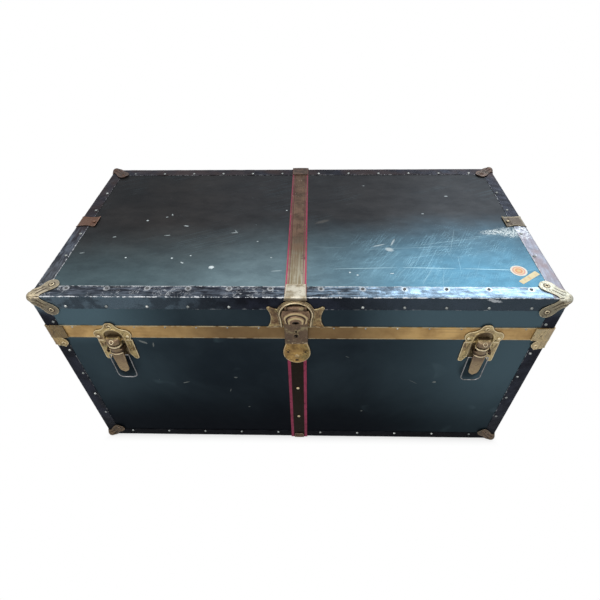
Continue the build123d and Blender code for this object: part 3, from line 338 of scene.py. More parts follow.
long_scratches = worn_through(lid_paint, [
    ((0.1008, -0.1213), (0.0530, 0.0005), 2.2, 0.75),
    ((0.1976, -0.1203), (0.0440, 0.0005), -1.4, 0.85),
    ((0.2963, -0.1235), (0.0550, 0.0005), -2.3, 0.8),
    ((0.1850, -0.0700), (0.0900, 0.0003), 4, 0.35),
    ((0.2500, -0.0520), (0.0850, 0.0003), 11, 0.35),
    ((0.0500, -0.0690), (0.0300, 0.0003), -3, 0.3),
    ((0.1950, -0.0850), (0.0520, 0.00022), 52, 0.3),
    ((0.2480, -0.0500), (0.0360, 0.00025), 72, 0.34),
    ((0.2350, -0.0850), (0.0250, 0.0002), 97, 0.22),
    ((0.2450, -0.1100), (0.0240, 0.00025), 84, 0.30),
    ((0.2700, -0.1200), (0.0280, 0.0002), 66, 0.22),
    ((0.3200, -0.0350), (0.0550, 0.0004), 10, 0.35),
    ((0.1600, -0.1250), (0.0380, 0.0003), 48, 0.3),
    ((0.2150, -0.1400), (0.0260, 0.00025), 76, 0.28),
    ((0.1900, -0.1420), (0.0200, 0.0003), 60, 0.35),
])
shown = lid_paint.mark((0.21, -0.100, 0), (0.15, 0.080), 3, 0.9)
hair = 0.00045
fan = reduce(or_, [
    lid_paint.scratches((0, 0, turn), length, hair, share, seed) * strength
    for turn, length, share, seed, strength in (
        (63, 0.10, 0.37, 7.7, 0.6), (49, 0.08, 0.37, 5.2, 0.5), (12, 0.12, 0.36, 3.1, 0.5))
])
fan = fan * shown * lid_paint.cloud(28.0, 3.0).ease(0.34, 0.58)
faint = lid_paint.scratches((0, 0, 24), 0.10, 0.0006, 0.36, 9.1)
faint = faint * lid_paint.cloud(9.0, 2.0).ease(0.50, 0.68) * 0.16
flecks = lid_paint.specks(70.0, 0.05, 0.05) * 0.6
burst = lid_paint.mark((0.347, -0.028, 0), (0.020, 0.014), 0, 1.1)
burst = burst | lid_paint.mark((0.322, -0.027, 0), (0.022, 0.007), 8, 1.2)
burst = burst * lid_paint.cloud(270.0, 6.0, 0.75, bend=0.8).ease(0.46, 0.54)
# Painted reflection: the lid's top is coloured lighter and bluer towards its front, its right and
# its middle, standing in for a window's sheen, and dark behind.
leftward = lid_paint.x.ease(-0.05, -0.30)
uneven = lid_paint.broad - 0.5
sheen_forward = (lid_paint.y + uneven * 0.12 + leftward * 0.03).ease(0.030, -0.175)
sheen_rightward = (lid_paint.x + uneven * 0.15).ease(-0.08, 0.24)
browned = lid_paint.cloud(4.0, 4.0).ease(0.36, 0.66)
dark_back = lid_paint.blend((0.020, 0.020, 0.021), (0.038, 0.035, 0.034), browned)
middle = lid_paint.x.ease(-0.26, -0.06)
dark_back = dark_back.coat((0.047, 0.048, 0.052), middle * 0.5)
sheen_blue = lid_paint.blend((0.086, 0.130, 0.146), (0.166, 0.240, 0.270), middle)
sheen_blue = sheen_blue.coat((0.077, 0.195, 0.278), sheen_rightward)
colour = dark_back.coat(sheen_blue, sheen_forward)
smear = lid_paint.mark((0.041, 0.0035, 0), (0.0125, 0.0036), 24, 1.1) * 0.5
smear = smear | lid_paint.cloud(36.0, 5.0, 0.7).ease(0.66, 0.78) * 0.25
colour = colour.coat((0.12, 0.11, 0.10), smear)
smoke = lid_paint.cloud(1.0, 6.0, 0.74, lid_paint.turned(size=(0.045, 0.022, 0.03)))
colour = colour.coat((0.84, 0.84, 0.85), smoke.ease(0.48, 0.62), "MULTIPLY")
colour = colour.coat((1.15, 1.14, 1.13), smoke.ease(0.48, 0.36), "MULTIPLY")
colour = colour.coat((0.30, 0.50, 0.60), fan * 0.95 | faint)
colour = colour.coat((0.50, 0.68, 0.74), long_scratches * 0.85 | flecks)
colour = colour.coat((0.70, 0.78, 0.80), chips | burst)
waves = lid_paint.cloud(14.0, 2.0) * 1.5 + (fan | long_scratches) * 0.1
lid_paint.put(
    Base_Color=colour,
    Roughness=0.30 + lid_paint.cloud(60.0, 4.0) * 0.14 + (chips | burst) * 0.3,
    Metallic=0.55 - (chips | burst) * 0.5,
    Normal=lid_paint.relief(waves + lid_paint.cloud(500.0, 2.0) * 0.05, 0.0006),
)
dress(lid_paint, "lid_top_sheet")

wall_paint = enamel("enamel_walls", 0.05)
rubs = worn_through(wall_paint, [
    ((-0.1923, 0.1780), (0.0060, 0.0009), -20, 0.5),
    ((-0.1050, 0.1932), (0.0030, 0.0018), 0, 0.4),
    ((0.0010, 0.2010), (0.0006, 0.0022), 10, 0.5),
    ((-0.1180, 0.1560), (0.0008, 0.0040), 20, 0.4),
    ((0.1946, 0.1848), (0.0100, 0.0005), 35, 0.3),
    ((-0.2500, 0.3000), (0.0050, 0.0006), 25, 0.3),
    ((0.1150, 0.0950), (0.0020, 0.0016), 0, 0.4),
    ((-0.0900, 0.1050), (0.0018, 0.0012), 0, 0.4),
    ((0.2300, 0.1850), (0.0030, 0.0020), 0, 0.5),
    ((-0.2400, 0.2830), (0.0080, 0.0022), 30, 0.45),
    ((-0.2250, 0.2760), (0.0012, 0.0060), 10, 0.4),
    ((0.0800, 0.2500), (0.0040, 0.0006), 30, 0.3),
], "Y")
flecks = wall_paint.specks(30.0, 0.022, 0.12)
fine = wall_paint.scratches((0, 58, 0), 0.06, 0.0005, 0.35, 7.7)
fine = fine * wall_paint.cloud(9.0, 2.0).ease(0.50, 0.68)
# Painted sheen and shade: the walls are coloured lighter towards both ends and along the upper
# lid, and near black towards the bottom.
lit_right = wall_paint.x.ease(0.08, 0.34)
lit_left = wall_paint.x.ease(-0.13, -0.34)
sheen_high = wall_paint.z.ease(0.27, 0.33)
low_shade = (wall_paint.z + wall_paint.broad * 0.06).ease(0.27, 0.07)
sheen_upper_right = sheen_high * wall_paint.x.ease(0.04, 0.20)
painted_sheen = lit_right * 0.68 | lit_left * (0.27 + sheen_high * 0.88)
painted_sheen = painted_sheen | sheen_high * 0.10 | sheen_upper_right * 0.78
clouded = wall_paint.broad.ease(0.35, 0.7)
colour = wall_paint.blend((0.011, 0.017, 0.023), (0.022, 0.033, 0.041), clouded)
colour = colour.coat((0.076, 0.124, 0.150), painted_sheen)
colour = colour.coat((0.003, 0.004, 0.006), low_shade * (0.92 - lit_right * 0.2))
# Painted shadow: a soft dark patch on the front wall behind each catch's tongue and bail.
bail_shadow = reduce(or_, [
    wall_paint.mark((x, 0, 0.2210), (0.0220, 0.0330), 0, 0.2, "Y", 0.5)
    for x in (-0.2855, 0.2815)
])
on_front_wall = wall_paint.y.ease(0.05, -0.05)
colour = colour.coat((0.002, 0.002, 0.002), bail_shadow * on_front_wall * 0.62)
colour = colour.coat((0.10, 0.15, 0.17), fine * 0.25)
colour = colour.coat((0.32, 0.34, 0.32), rubs * on_front_wall | flecks * 0.45)
wall_paint.put(
    Base_Color=colour,
    Metallic=0.55,
    Roughness=0.32 + wall_paint.cloud(50.0, 4.0) * 0.16,
    Normal=wall_paint.relief(wall_paint.cloud(12.0, 2.0) * 1.6 + fine * 0.1, 0.0006),
)
dress(wall_paint, "case_sheet", "lid_wall_sheet")

# ---------------------------------------------------------------- tan band
# A flat strip of steel, enamelled ochre and let into the lid's bottom edge, where it
# covers the joint. Small pins hold it along its top edge.
ochre = Finish("ochre_band", Metallic=0.35, Specular_IOR_Level=0.3)
streak = ochre.cloud(1.0, 4.0, 0.6, ochre.turned(size=(0.09, 0.09, 0.003)))
patch = ochre.cloud(16.0, 4.0, 0.6)
band_z = 0.3074
in_middle = abs(ochre.x + 0.02).ease(0.24, 0.08)
band = ochre.blend((0.30, 0.170, 0.052), (0.60, 0.390, 0.150), patch.ease(0.32, 0.68))
band = band.coat((0.095, 0.052, 0.018), in_middle * 0.78)
band = band.coat((0.17, 0.085, 0.030), streak.ease(0.52, 0.75) * 0.55)
edges = abs(ochre.z - band_z).ease(0.0112, 0.0128)
band = band.coat((0.50, 0.40, 0.24), edges * ochre.cloud(90.0).ease(0.38, 0.56))
band = band.coat((0.08, 0.06, 0.04), ochre.specks(45.0, 0.08, 0.18) * 0.7)
ochre.put(
    Base_Color=band,
    Roughness=0.36 + patch * 0.18,
    Normal=ochre.relief(ochre.cloud(20.0, 3.0), 0.0005),
)
dress(ochre, "lid_band")

# ---------------------------------------------------------------- edge bindings
# Every edge is bound with an angle of thin black-blue enamelled steel, hammered over and
# nailed. It is dented all along, and rubbed to white metal on the fold, along its edges
# and round the nails.
low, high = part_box("case_bottom_binding")[0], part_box("lid_edge_binding")[1]


def over_edges(point, lift, soften=0.0022):
    """Lift a point off the trunk's outer box, turning smoothly round its edges."""
    inner = Vector(
        max(a + soften, min(b - soften, p)) for p, a, b in zip(point, low, high)
    )
    out = (point - inner).normalized()
    return inner + out * (soften + lift)


def near(gap, reach):
    """1 where a gap is nothing, falling to 0 at a reach."""
    return max(0.0, 1 - gap / reach)


def squares(across, up):
    """A flat sheet of squares, 2 wide, to be laid out as a surface."""
    bpy.ops.mesh.primitive_grid_add(x_subdivisions=across, y_subdivisions=up, size=2)
    return bpy.context.object


def dents(point, size, seed=0.0):
    """Hammered dents and creases, about -1 to 1, with their size in metres."""
    at = point / size + Vector((seed, seed * 2, seed * 3))
    return noise.noise(at) + 0.6 * (0.5 - abs(noise.noise(at * 2.3))) - 0.3


def finish_wall(piece, wall, smooth=40.0):
    """Give an open shell its wall, inwards, and smooth its curved parts."""
    bpy.context.view_layer.objects.active = piece
    piece.select_set(True)
    thick = piece.modifiers.new("wall", "SOLIDIFY")
    thick.thickness = wall
    thick.offset = -1.0
    bpy.ops.object.modifier_apply(modifier="wall")
    bpy.ops.object.shade_smooth_by_angle(angle=math.radians(smooth))
    piece.select_set(False)
    return piece


def joined(name, pieces):
    """Join like pieces into one."""
    bpy.ops.object.select_all(action="DESELECT")
    for piece in pieces:
        piece.select_set(True)
    bpy.context.view_layer.objects.active = pieces[0]
    bpy.ops.object.join()
    piece = bpy.context.object
    piece.name = name
    bpy.ops.object.select_all(action="DESELECT")
    return piece


def fit(piece, finish, body, slot, *nodes):
    """Fit a made piece: its finish, the body it rides on and what it replaces."""
    piece.data.materials.clear()
    piece.data.materials.append(finish.material)
    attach(piece, body)
    if nodes:
        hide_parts(*nodes)


def rub(piece, values):
    """Keep how worn each point is, about -1 to 1, for the finish to read; below nought it is
    painted shade.
    """
    worn = piece.data.attributes.new("worn", "FLOAT", "POINT")
    worn.data.foreach_set("value", values)


def angle_strip(start, end, side_a, side_b, leg_a, leg_b, mitre_a, mitre_b, dent, seed):
    """One binding, folded over an edge: its two sides point inwards along their legs."""
    run = end - start
    square = 0.0028
    piece = squares(int(run.length / square), 22)
    along = run.normalized()
    on_a, on_b = (leg_a, side_a, mitre_a), (leg_b, side_b, mitre_b)
    wear_and_painted_light = []
    for vertex in piece.data.vertices:
        share = (vertex.co.x + 1) / 2
        across = math.copysign(abs(vertex.co.y) ** 1.35, vertex.co.y)
        leg, inward, mitre = on_a if across > 0 else on_b
        down = abs(across) * leg
        cut = down * mitre
        point = start + along * (cut + share * (run.length - 2 * cut)) + inward * down
        crease = dents(point, 0.012, seed) * 0.7 + dents(point, 0.004, seed) * 0.3
        calm = min(1.0, down / 0.004) * 0.75 + 0.25
        rag = noise.noise(point * 90) * 0.0006 if abs(vertex.co.y) > 0.97 else 0.0
        vertex.co = over_edges(point + inward * rag, dent * crease * calm - dent * 0.6)
        fold = near(down, 0.0035)
        edge = near(max(leg_a, leg_b) - down, 0.003) if abs(across) > 0.5 else 0.0
        wear_and_painted_light.append(min(1.0, fold + edge * 0.9 + max(0.0, crease) * 0.25))
    rub(piece, wear_and_painted_light)
    if (side_a.cross(side_b)).dot(along) > 0:
        bpy.ops.object.mode_set(mode="EDIT")
        bpy.ops.mesh.select_all(action="SELECT")
        bpy.ops.mesh.flip_normals()
        bpy.ops.object.mode_set(mode="OBJECT")
    return finish_wall(piece, 0.0008)


def bind_round(name, z, up, leg_side, leg_ends, leg_flat, dent, seed):
    """Four mitred angles round the top or the bottom of the trunk."""
    x0, y0, x1, y1 = low.x, low.y, high.x, high.y
    flat = Vector((0, 0, -up))
    right, back = Vector((1, 0, 0)), Vector((0, 1, 0))
    runs = [
        ((x0, y0), (x1, y0), back, leg_flat, leg_side),
        ((x0, y1), (x1, y1), -back, leg_flat, leg_side),
        ((x0, y0), (x0, y1), right, leg_ends, leg_ends),
        ((x1, y0), (x1, y1), -right, leg_ends, leg_ends),
    ]
    made = []
    for number, (a, b, inward, on_flat, on_side) in enumerate(runs):
        start, end = Vector((*a, z)), Vector((*b, z))
        args = (inward, flat, on_flat, on_side, 1.0, 0.0, dent, seed + number)
        made.append(angle_strip(start, end, *args))
    return joined(name, made)


black = Finish(
    "black_binding", Metallic=0.5, Specular_IOR_Level=0.15, Specular_Tint=(0.55, 0.56, 0.62)
)
worn = black.rubbing()
ragged = black.ragged = black.cloud(190.0, 5.0, 0.68)
coarse = black.cloud(34.0, 4.0, 0.6)
dark = black.blend((0.005, 0.006, 0.010), (0.015, 0.018, 0.029), coarse.ease(0.38, 0.68))
to_back = (black.y - black.x * 0.25 + coarse * 0.05).ease(0.02, 0.12)
russet = to_back * black.cloud(19.0, 5.0).ease(0.36, 0.66) * 0.8
dark = dark.coat((0.042, 0.026, 0.023), russet)
on_top = black.z.ease(0.3788, 0.3800)
to_front = black.y.ease(0.01, -0.05)
run_x = black.cloud(1.0, 4.0, 0.6, black.turned(size=(0.030, 0.0045, 0.02)))
run_y = black.cloud(1.0, 4.0, 0.6, black.turned(size=(0.0045, 0.030, 0.02)))
near_end = abs(black.x).ease(0.352, 0.357)
dragged = run_x * (1 - near_end) + run_y * near_end
# Painted glare: the top face along the front edge is coloured pale blue, bluer to the right, the
# right end's top a lilac grey that is also bare metal, and the left end's top near the front a
# grey, all standing in for reflected light.
bluer = (black.x + coarse * 0.2).ease(0.03, 0.26)
wear_and_painted_light = black.blend((0.135, 0.160, 0.200), (0.39, 0.56, 0.74), bluer)
even = black.x.ease(0.0, 0.22) * 0.4
streaked = even + 0.12 + dragged.ease(0.42, 0.60) * (0.88 - even)
dark = dark.coat(wear_and_painted_light, on_top * to_front * streaked)
lilac = on_top * to_front * black.x.ease(0.3545, 0.3575)
dark = dark.coat((0.275, 0.215, 0.225), lilac * 0.94)
grey_end = on_top * black.x.ease(-0.3545, -0.3575) * (black.y + coarse * 0.06).ease(-0.02, -0.15)
dark = dark.coat((0.115, 0.120, 0.126), grey_end * (0.4 + coarse.ease(0.4, 0.6) * 0.5))
left_front = black.x.ease(-0.08, -0.24) * black.y.ease(-0.15, -0.18)
bare = worn * 0.36 + ragged * 0.85 + coarse * 0.3 + dragged * 0.25
bare = (bare + on_top * to_front * 0.13 + left_front * on_top * 0.05).ease(1.01, 1.08)
flakes = black.mark((0.367, -0.028, 0), (0.013, 0.018), 0, 1.0)
flakes = flakes * black.cloud(230.0, 5.0, 0.7).ease(0.47, 0.53)
veins = abs(black.cloud(70.0, 4.0, 0.62, bend=1.2) - 0.5).ease(0.020, 0.009)
veins = veins * black.cloud(30.0, 3.0).ease(0.46, 0.56) * on_top
veins = veins * black.y.ease(-0.150, -0.158) * black.x.ease(0.12, 0.0)
bare = bare * (1 - black.z.ease(0.3620, 0.3590) * 0.6)
chipped = black.mark((0.275, 0, 0.3752), (0.011, 0.0032), 12, 0.9, "Y")
chipped = chipped * black.y.ease(-0.180, -0.185)
first_nail, nail_pitch, nail_row = 0.036, 0.059, 0.1685
to_nail = black.x.sum("PINGPONG", abs(black.x) - first_nail, nail_pitch / 2)
nail_line = abs(black.y + nail_row)
from_nail = black.x.sum("SQRT", to_nail * to_nail + nail_line * nail_line)
ringed = (from_nail + (ragged - 0.5) * 0.003).ease(0.0054, 0.0042) * on_top
bits = veins * 0.8 | ringed * 0.85 | chipped | on_top * flakes
bits = bits | black.cloud(75.0, 6.0, 0.7).ease(0.67, 0.73) * 0.6
showing = (bare | bits) * (1 - to_back * 0.5) * black.z.ease(0.00, 0.12)
dark = dark.coat((0.56, 0.58, 0.60), showing)
# Painted reflection: the front faces of the lid's front angle are coloured slate blue towards each
# end.
on_front_side, high_on = (-0.17, -0.186), (0.34, 0.36)
front_right = black.x.ease(0.02, 0.22) * black.y.ease(*on_front_side) * black.z.ease(*high_on)
front_left = black.x.ease(-0.06, -0.24) * black.y.ease(*on_front_side) * black.z.ease(*high_on)
slate = front_right * 0.4 | front_left * (0.45 + coarse.ease(0.40, 0.52) * 0.5)
dark = dark.coat((0.078, 0.112, 0.140), slate * (1 - on_top) * (1 - bare))
# Painted shade: the angles are coloured near black towards the floor.
dark = dark.coat((0.0015, 0.0015, 0.002), black.z.ease(0.10, 0.012) * (1 - bare) * 0.85)
black.put(
    Base_Color=dark,
    Roughness=0.20 + ragged * 0.16 + bare * 0.2 + lilac * 0.22 + black.z.ease(0.05, 0.02) * 0.3,
    Normal=black.relief(coarse * 1.2 + ragged * 0.2, 0.0007),
)
top_edges = bind_round("lid_edge_angles", high.z, 1, 0.024, 0.021, 0.024, 0.00055, 1.3)
fit(top_edges, black, "lid", "dark_binding", "lid_edge_binding")
foot_edges = bind_round("case_edge_angles", low.z, -1, 0.020, 0.020, 0.020, 0.0004, 6.1)
fit(foot_edges, black, "case", "dark_binding", "case_bottom_binding")


def bind_corners(name, z0, z1, seed):
    """Four upright angles, one at each corner."""
    made = []
    for number, (sx, sy) in enumerate([(-1, -1), (1, -1), (1, 1), (-1, 1)]):
        x = low.x if sx < 0 else high.x
        y = low.y if sy < 0 else high.y
        start, end = Vector((x, y, z0)), Vector((x, y, z1))
        sides = Vector((-sx, 0, 0)), Vector((0, -sy, 0))
        square = (0.021, 0.021, 0.0, 0.0, 0.0004, seed + number)
        made.append(angle_strip(start, end, *sides, *square))
    return joined(name, made)


lid_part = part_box("lid_corner_binding")
case_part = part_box("case_corner_binding")
lid_corners = bind_corners("lid_corner_angles", lid_part[0].z, lid_part[1].z, 11.0)
fit(lid_corners, black, "lid", "dark_binding", "lid_corner_binding")
case_corners = bind_corners("case_corner_angles", case_part[0].z, case_part[1].z, 17.0)
fit(case_corners, black, "case", "dark_binding", "case_corner_binding")

# ---------------------------------------------------------------- corner caps
# Each corner has a pressed brass cap: three ribbed leaves with rounded ends, drawn
# together into a hollow ball, and held by an eyelet through the end of each leaf.
brass = Finish("worn_brass", Metallic=0.85, Specular_IOR_Level=0.4)
brass_wear_and_shade = brass.rubbing()
mottle = brass.cloud(62.0, 6.0, 0.68, bend=0.4)
stain = brass.cloud(25.0, 5.0, 0.62)
grit = brass.cloud(420.0, 4.0, 0.65)
metal = brass.blend((0.190, 0.128, 0.058), (0.52, 0.385, 0.180), mottle.ease(0.33, 0.60))
metal = metal.coat((0.235, 0.130, 0.092), stain.ease(0.48, 0.64) * 0.5)
metal = metal.coat((0.165, 0.175, 0.095), brass.cloud(41.0, 5.0).ease(0.54, 0.70) * 0.6)
# Painted light: the brass is coloured paler towards the trunk's right, where the light falls.
lit_right = brass.x.ease(0.20, 0.36)
metal = metal.coat((0.50, 0.42, 0.28), lit_right * 0.45)
on_cap = brass.z.ease(0.325, 0.340) * abs(brass.x).ease(0.315, 0.325)
# Painted highlight: a pale overlay on the top of the front right cap.
cap_right_highlight = on_cap * brass.x.ease(0.30, 0.34)
cap_right_highlight = cap_right_highlight * brass.z.ease(0.376, 0.380) * brass.y.ease(-0.10, -0.14)
metal = metal.coat((0.84, 0.88, 0.76), cap_right_highlight * 0.5)
on_catch = abs(brass.x).ease(0.235, 0.245) * abs(brass.x).ease(0.325, 0.315)
on_catch = on_catch * brass.y.ease(0.0, -0.1)
metal = metal.coat((0.56, 0.455, 0.225), on_catch * mottle.ease(0.38, 0.56) * 0.5)
metal = metal.coat((0.37, 0.37, 0.33), on_cap * 0.5)
cap_front = on_cap * brass.y.ease(-0.183, -0.187) * brass.z.ease(0.3790, 0.3740)
metal = metal.coat((0.125, 0.108, 0.066), cap_front * 0.62)
cap_left = on_cap * brass.x.ease(0, -0.1) * brass.cloud(95.0, 5.0, 0.7).ease(0.46, 0.60)
metal = metal.coat((0.120, 0.100, 0.075), cap_left * 0.6)
band_left = brass.x.ease(-0.344, -0.352) * brass.z.ease(0.292, 0.296)
band_left = band_left * brass.z.ease(0.3230, 0.3210)
metal = metal.coat((0.152, 0.106, 0.056), band_left * 0.74)
on_lock = abs(brass.x).ease(0.065, 0.055)
metal = metal.coat((0.90, 0.78, 0.57), on_lock * brass.z.ease(0.37, 0.30), "MULTIPLY")
metal = metal.coat((0.66, 0.62, 0.70), on_lock * brass.z.ease(0.312, 0.322), "MULTIPLY")
on_star = on_lock * brass.z.ease(0.316, 0.322)
patchy = brass.cloud(125.0, 5.0, 0.7)
metal = metal.coat((0.085, 0.056, 0.036), on_star * patchy.ease(0.48, 0.38) * 0.6)
metal = metal.coat((0.37, 0.30, 0.145), on_star * patchy.ease(0.48, 0.58) * 0.7)
metal = metal.coat((0.050, 0.034, 0.020), (grit * 0.6 + mottle * 0.5).ease(0.57, 0.70) * 0.85)
lever_front = on_catch * brass.y.ease(-0.1935, -0.1950) * brass.z.ease(0.302, 0.298)
lever_foot = (brass.z + mottle * 0.03).ease(0.275, 0.235)
lever_tone = brass.blend((0.150, 0.098, 0.070), (0.300, 0.215, 0.130), lever_foot)
metal = metal.coat(lever_tone, lever_front * 0.72)
polished = (brass_wear_and_shade + grit * 0.7 + mottle * 0.5).ease(1.02, 1.34)
metal = metal.coat((0.74, 0.63, 0.42), polished * 0.85)
# Painted shade: dark, then near black, where the rub value falls below nought in recesses, grooves
# and holes.
metal = metal.coat((0.052, 0.030, 0.022), (brass_wear_and_shade + grit * 0.2).ease(-0.05, -0.35) * 0.85)
metal = metal.coat((0.014, 0.009, 0.006), (brass_wear_and_shade + grit * 0.2).ease(-0.40, -0.70) * 0.92)
# The brass is coated a dark red brown at the back. Low down, the same coat is painted shade.
to_back = (brass.y - brass.x * 0.25).ease(0.02, 0.07)
foot_shade = brass.z.ease(0.090, 0.050)
raised = (mottle + brass_wear_and_shade * 0.15).ease(0.38, 0.72)
dark_red_brown = brass.blend((0.028, 0.017, 0.015), (0.100, 0.055, 0.046), raised)
metal = metal.coat(dark_red_brown, to_back * 0.93 | foot_shade * 0.8)
on_ends = abs(brass.y).ease(0.05, 0.03)
right_end = brass.x.ease(-0.1, 0.1)
end_tone = brass.blend((0.210, 0.105, 0.066), (0.055, 0.045, 0.035), right_end)
metal = metal.coat(end_tone, on_ends * 0.55)
brass.put(
    Base_Color=metal,
    Roughness=0.30 + mottle * 0.2 + grit * 0.1,
    Normal=brass.relief(grit * 0.5 + mottle * 1.2, 0.0005),
)


leaf_length = 0.0449
ball_radius = 0.0082
caps_top = 0.3838


def leaf_half(far):
    """Half the leaf's width at a distance along its diagonal."""
    root, waist, lobe = 0.0106, 0.0082, 0.0104
    if far < root:
        return far
    if far < 0.018:
        return root - 0.0024 * math.sin((far - root) / 0.0074 * math.pi / 2)
    if far < 0.034:
        return waist + 0.0022 * (1 - math.cos((far - 0.018) / 0.016 * math.pi)) / 2
    return lobe * max(0.0, 1 - ((far - 0.034) / 0.0110) ** 2.4) ** (1 / 2.4)


def climb(value, span):
    """Rise from 0 to 1 over a span, and stay there."""
    return max(0.0, min(1.0, value / span))


def cap_leaf(axes):
    """One leaf, in distances inward from a corner along two axes, with its ribs."""
    piece = squares(44, 22)
    wear_and_painted_light = []
    for vertex in piece.data.vertices:
        far = leaf_length * (vertex.co.x + 1) / 2
        side = vertex.co.y
        half = leaf_half(far)
        off = side * half
        inward = [0.0, 0.0, 0.0]
        inward[axes[0]] = max(0.0, (far - off) / math.sqrt(2))
        inward[axes[1]] = max(0.0, (far + off) / math.sqrt(2))
        border = near(half - abs(off), 0.0021) if far > 0.011 else 0.0
        tip = near(leaf_length - far, 0.0020)
        border = min(1.0, max(border, tip))
        ribs = math.cos(side * math.pi * 3.0) * min(1.0, far / 0.009)
        ribs *= climb(0.030 - far, 0.006)
        crown = 0.0009 * (1 - side * side) * min(1.0, far / 0.01)
        well = near(math.hypot(far - 0.0350, off), 0.0072)
        rise = 0.0004 + crown + 0.0006 * border + 0.0007 * ribs - 0.0006 * well
        vertex.co = inward
        # Painted shade: darker in the grooves between ribs and in the well round the ball.
        shade = border * 0.75 + max(0.0, ribs) * 0.5 - max(0.0, -ribs) * (1 - border) * 0.5
        wear_and_painted_light.append((rise, min(1.1, shade - 0.5 * min(1.0, well * 2))))
    return piece, wear_and_painted_light


def merge_seams(distance):
    """Merge the points that meet along the seams, and turn every face outwards."""
    bpy.ops.object.mode_set(mode="EDIT")
    bpy.ops.mesh.select_all(action="SELECT")
    bpy.ops.mesh.remove_doubles(threshold=distance)
    bpy.ops.mesh.normals_make_consistent(inside=False)
    bpy.ops.object.mode_set(mode="OBJECT")


def corner_cap(name, corner, up):
    """One cap: three leaves folded over the box's corner, swelled into its ball."""
    signs = Vector((1 if corner.x < 0 else -1, 1 if corner.y < 0 else -1, -up))
    heart = corner + signs * 0.004
    leaves = []
    for axes in ((0, 1), (1, 2), (2, 0)):
        piece, marks = cap_leaf(axes)
        values = []
        for vertex, (rise, shade) in zip(piece.data.vertices, marks):
            point = corner + Vector(a * b for a, b in zip(vertex.co, signs))
            point = over_edges(point, rise + 0.0006, 0.0030)
            away = point - heart
            swell = ball_radius - away.length
            if swell > 0:
                point = heart + away.normalized() * ball_radius
            elif swell > -0.002:
                point += away.normalized() * (0.002 + swell) ** 2 / 0.004
            point.z = max(point.z, 0.0) if up < 0 else min(point.z, caps_top)
            vertex.co = point
            values.append(min(1.0, shade + max(0.0, swell / 0.010 + 0.05)))
        rub(piece, values)
        leaves.append(piece)
    piece = joined(name, leaves)
    merge_seams(0.00012)
    faces = piece.data.polygons
    facing = sum((f.normal.dot(f.center - heart - signs * 0.02)) * f.area for f in faces)
    if facing < 0:
        piece.data.flip_normals()
    return finish_wall(piece, 0.0007, 50.0)


def four_caps(name, z, up):
    """A cap on each corner of the trunk's top or bottom."""
    corners = [(low.x, low.y), (high.x, low.y), (high.x, high.y), (low.x, high.y)]
    caps = [corner_cap(f"cap_{i}", Vector((*c, z)), up) for i, c in enumerate(corners)]
    return joined(name, caps)


fit(four_caps("lid_caps", high.z, 1), brass, "lid", "aged_brass", "lid_corner_caps")
fit(four_caps("case_caps", low.z, -1), brass, "case", "aged_brass", "case_corner_caps")

# ---------------------------------------------------------------- band and rim corners
# The tan band ends in brass angles, ribbed where they turn the corner. Just below the
# joint the case has a brass angle of its own, cut to a lobe and held by one rivet.


def corner_wrap(corner, inward_x, inward_y, shape):
    """A brass angle round an upright corner: shape gives each point's place and rise."""
    piece = squares(96, 14)
    wear_and_painted_light = []
    for vertex in piece.data.vertices:
        far, z, rise, shade = shape(abs(vertex.co.x), (vertex.co.y + 1) / 2)
        inward = inward_x if vertex.co.x < 0 else inward_y
        vertex.co = over_edges(Vector((corner.x, corner.y, z)) + inward * far, rise, 0.003)
        wear_and_painted_light.append(shade)
    rub(piece, wear_and_painted_light)
    if inward_x.cross(inward_y).z < 0:
        piece.data.flip_normals()
    return finish_wall(piece, 0.0006, 50.0)


def flutes(far, pitch, end):
    """Upright ribs a pitch apart, dying out towards an end."""
    return math.cos(far / pitch * math.pi * 2) * climb(end - far, 0.003)


def band_end(across, up):
    """The band's end: flat out to its edge, with upright ribs near the corner."""
    far = 0.027 * across
    ribs = flutes(far, 0.0052, 0.019)
    border = max(near(min(up, 1 - up), 0.08), near(1 - across, 0.06))
    rise = 0.0009 + 0.0003 * ribs + 0.0004 * border
    return far, 0.2945 + 0.0258 * up, rise, border * 0.6 + ribs * 0.12 - 0.12


def rim_lobe(across, up):
    """The rim angle: it deepens outwards and ends in a rounded lobe."""
    down = 1 - up
    far = (0.0160 + 0.0066 * math.sin(math.pi * min(1.0, down * 1.04))) * across
    foot = 0.0160 + 0.0042 * min(1.0, far / 0.0155) ** 1.5
    border = max(near(up, 0.10), near(1 - across, 0.10))
    flute = flutes(far, 0.0060, 0.012)
    rise = 0.0007 + 0.0005 * border + 0.0003 * flute
    return far, 0.2940 - foot * down, rise, border * 0.8 + flute * 0.3


def four_wraps(name, shape):
    """An angle round each upright corner."""
    made = []
    for sx, sy in ((-1, -1), (1, -1), (1, 1), (-1, 1)):
        corner = Vector((low.x if sx < 0 else high.x, low.y if sy < 0 else high.y))
        made.append(corner_wrap(corner, Vector((-sx, 0, 0)), Vector((0, -sy, 0)), shape))
    return joined(name, made)


fit(four_wraps("band_ends", band_end), brass, "lid", "aged_brass", "band_corner_clamps")
fit(four_wraps("rim_angles", rim_lobe), brass, "case", "aged_brass", "rim_corner_clamps")

# ---------------------------------------------------------------- end clamps
# A waisted brass clamp is folded over the middle of each end's top edge. Its border is
# raised, its inner end is turned up a little, and a rivet holds it at each end.
middle_y = 0.0024


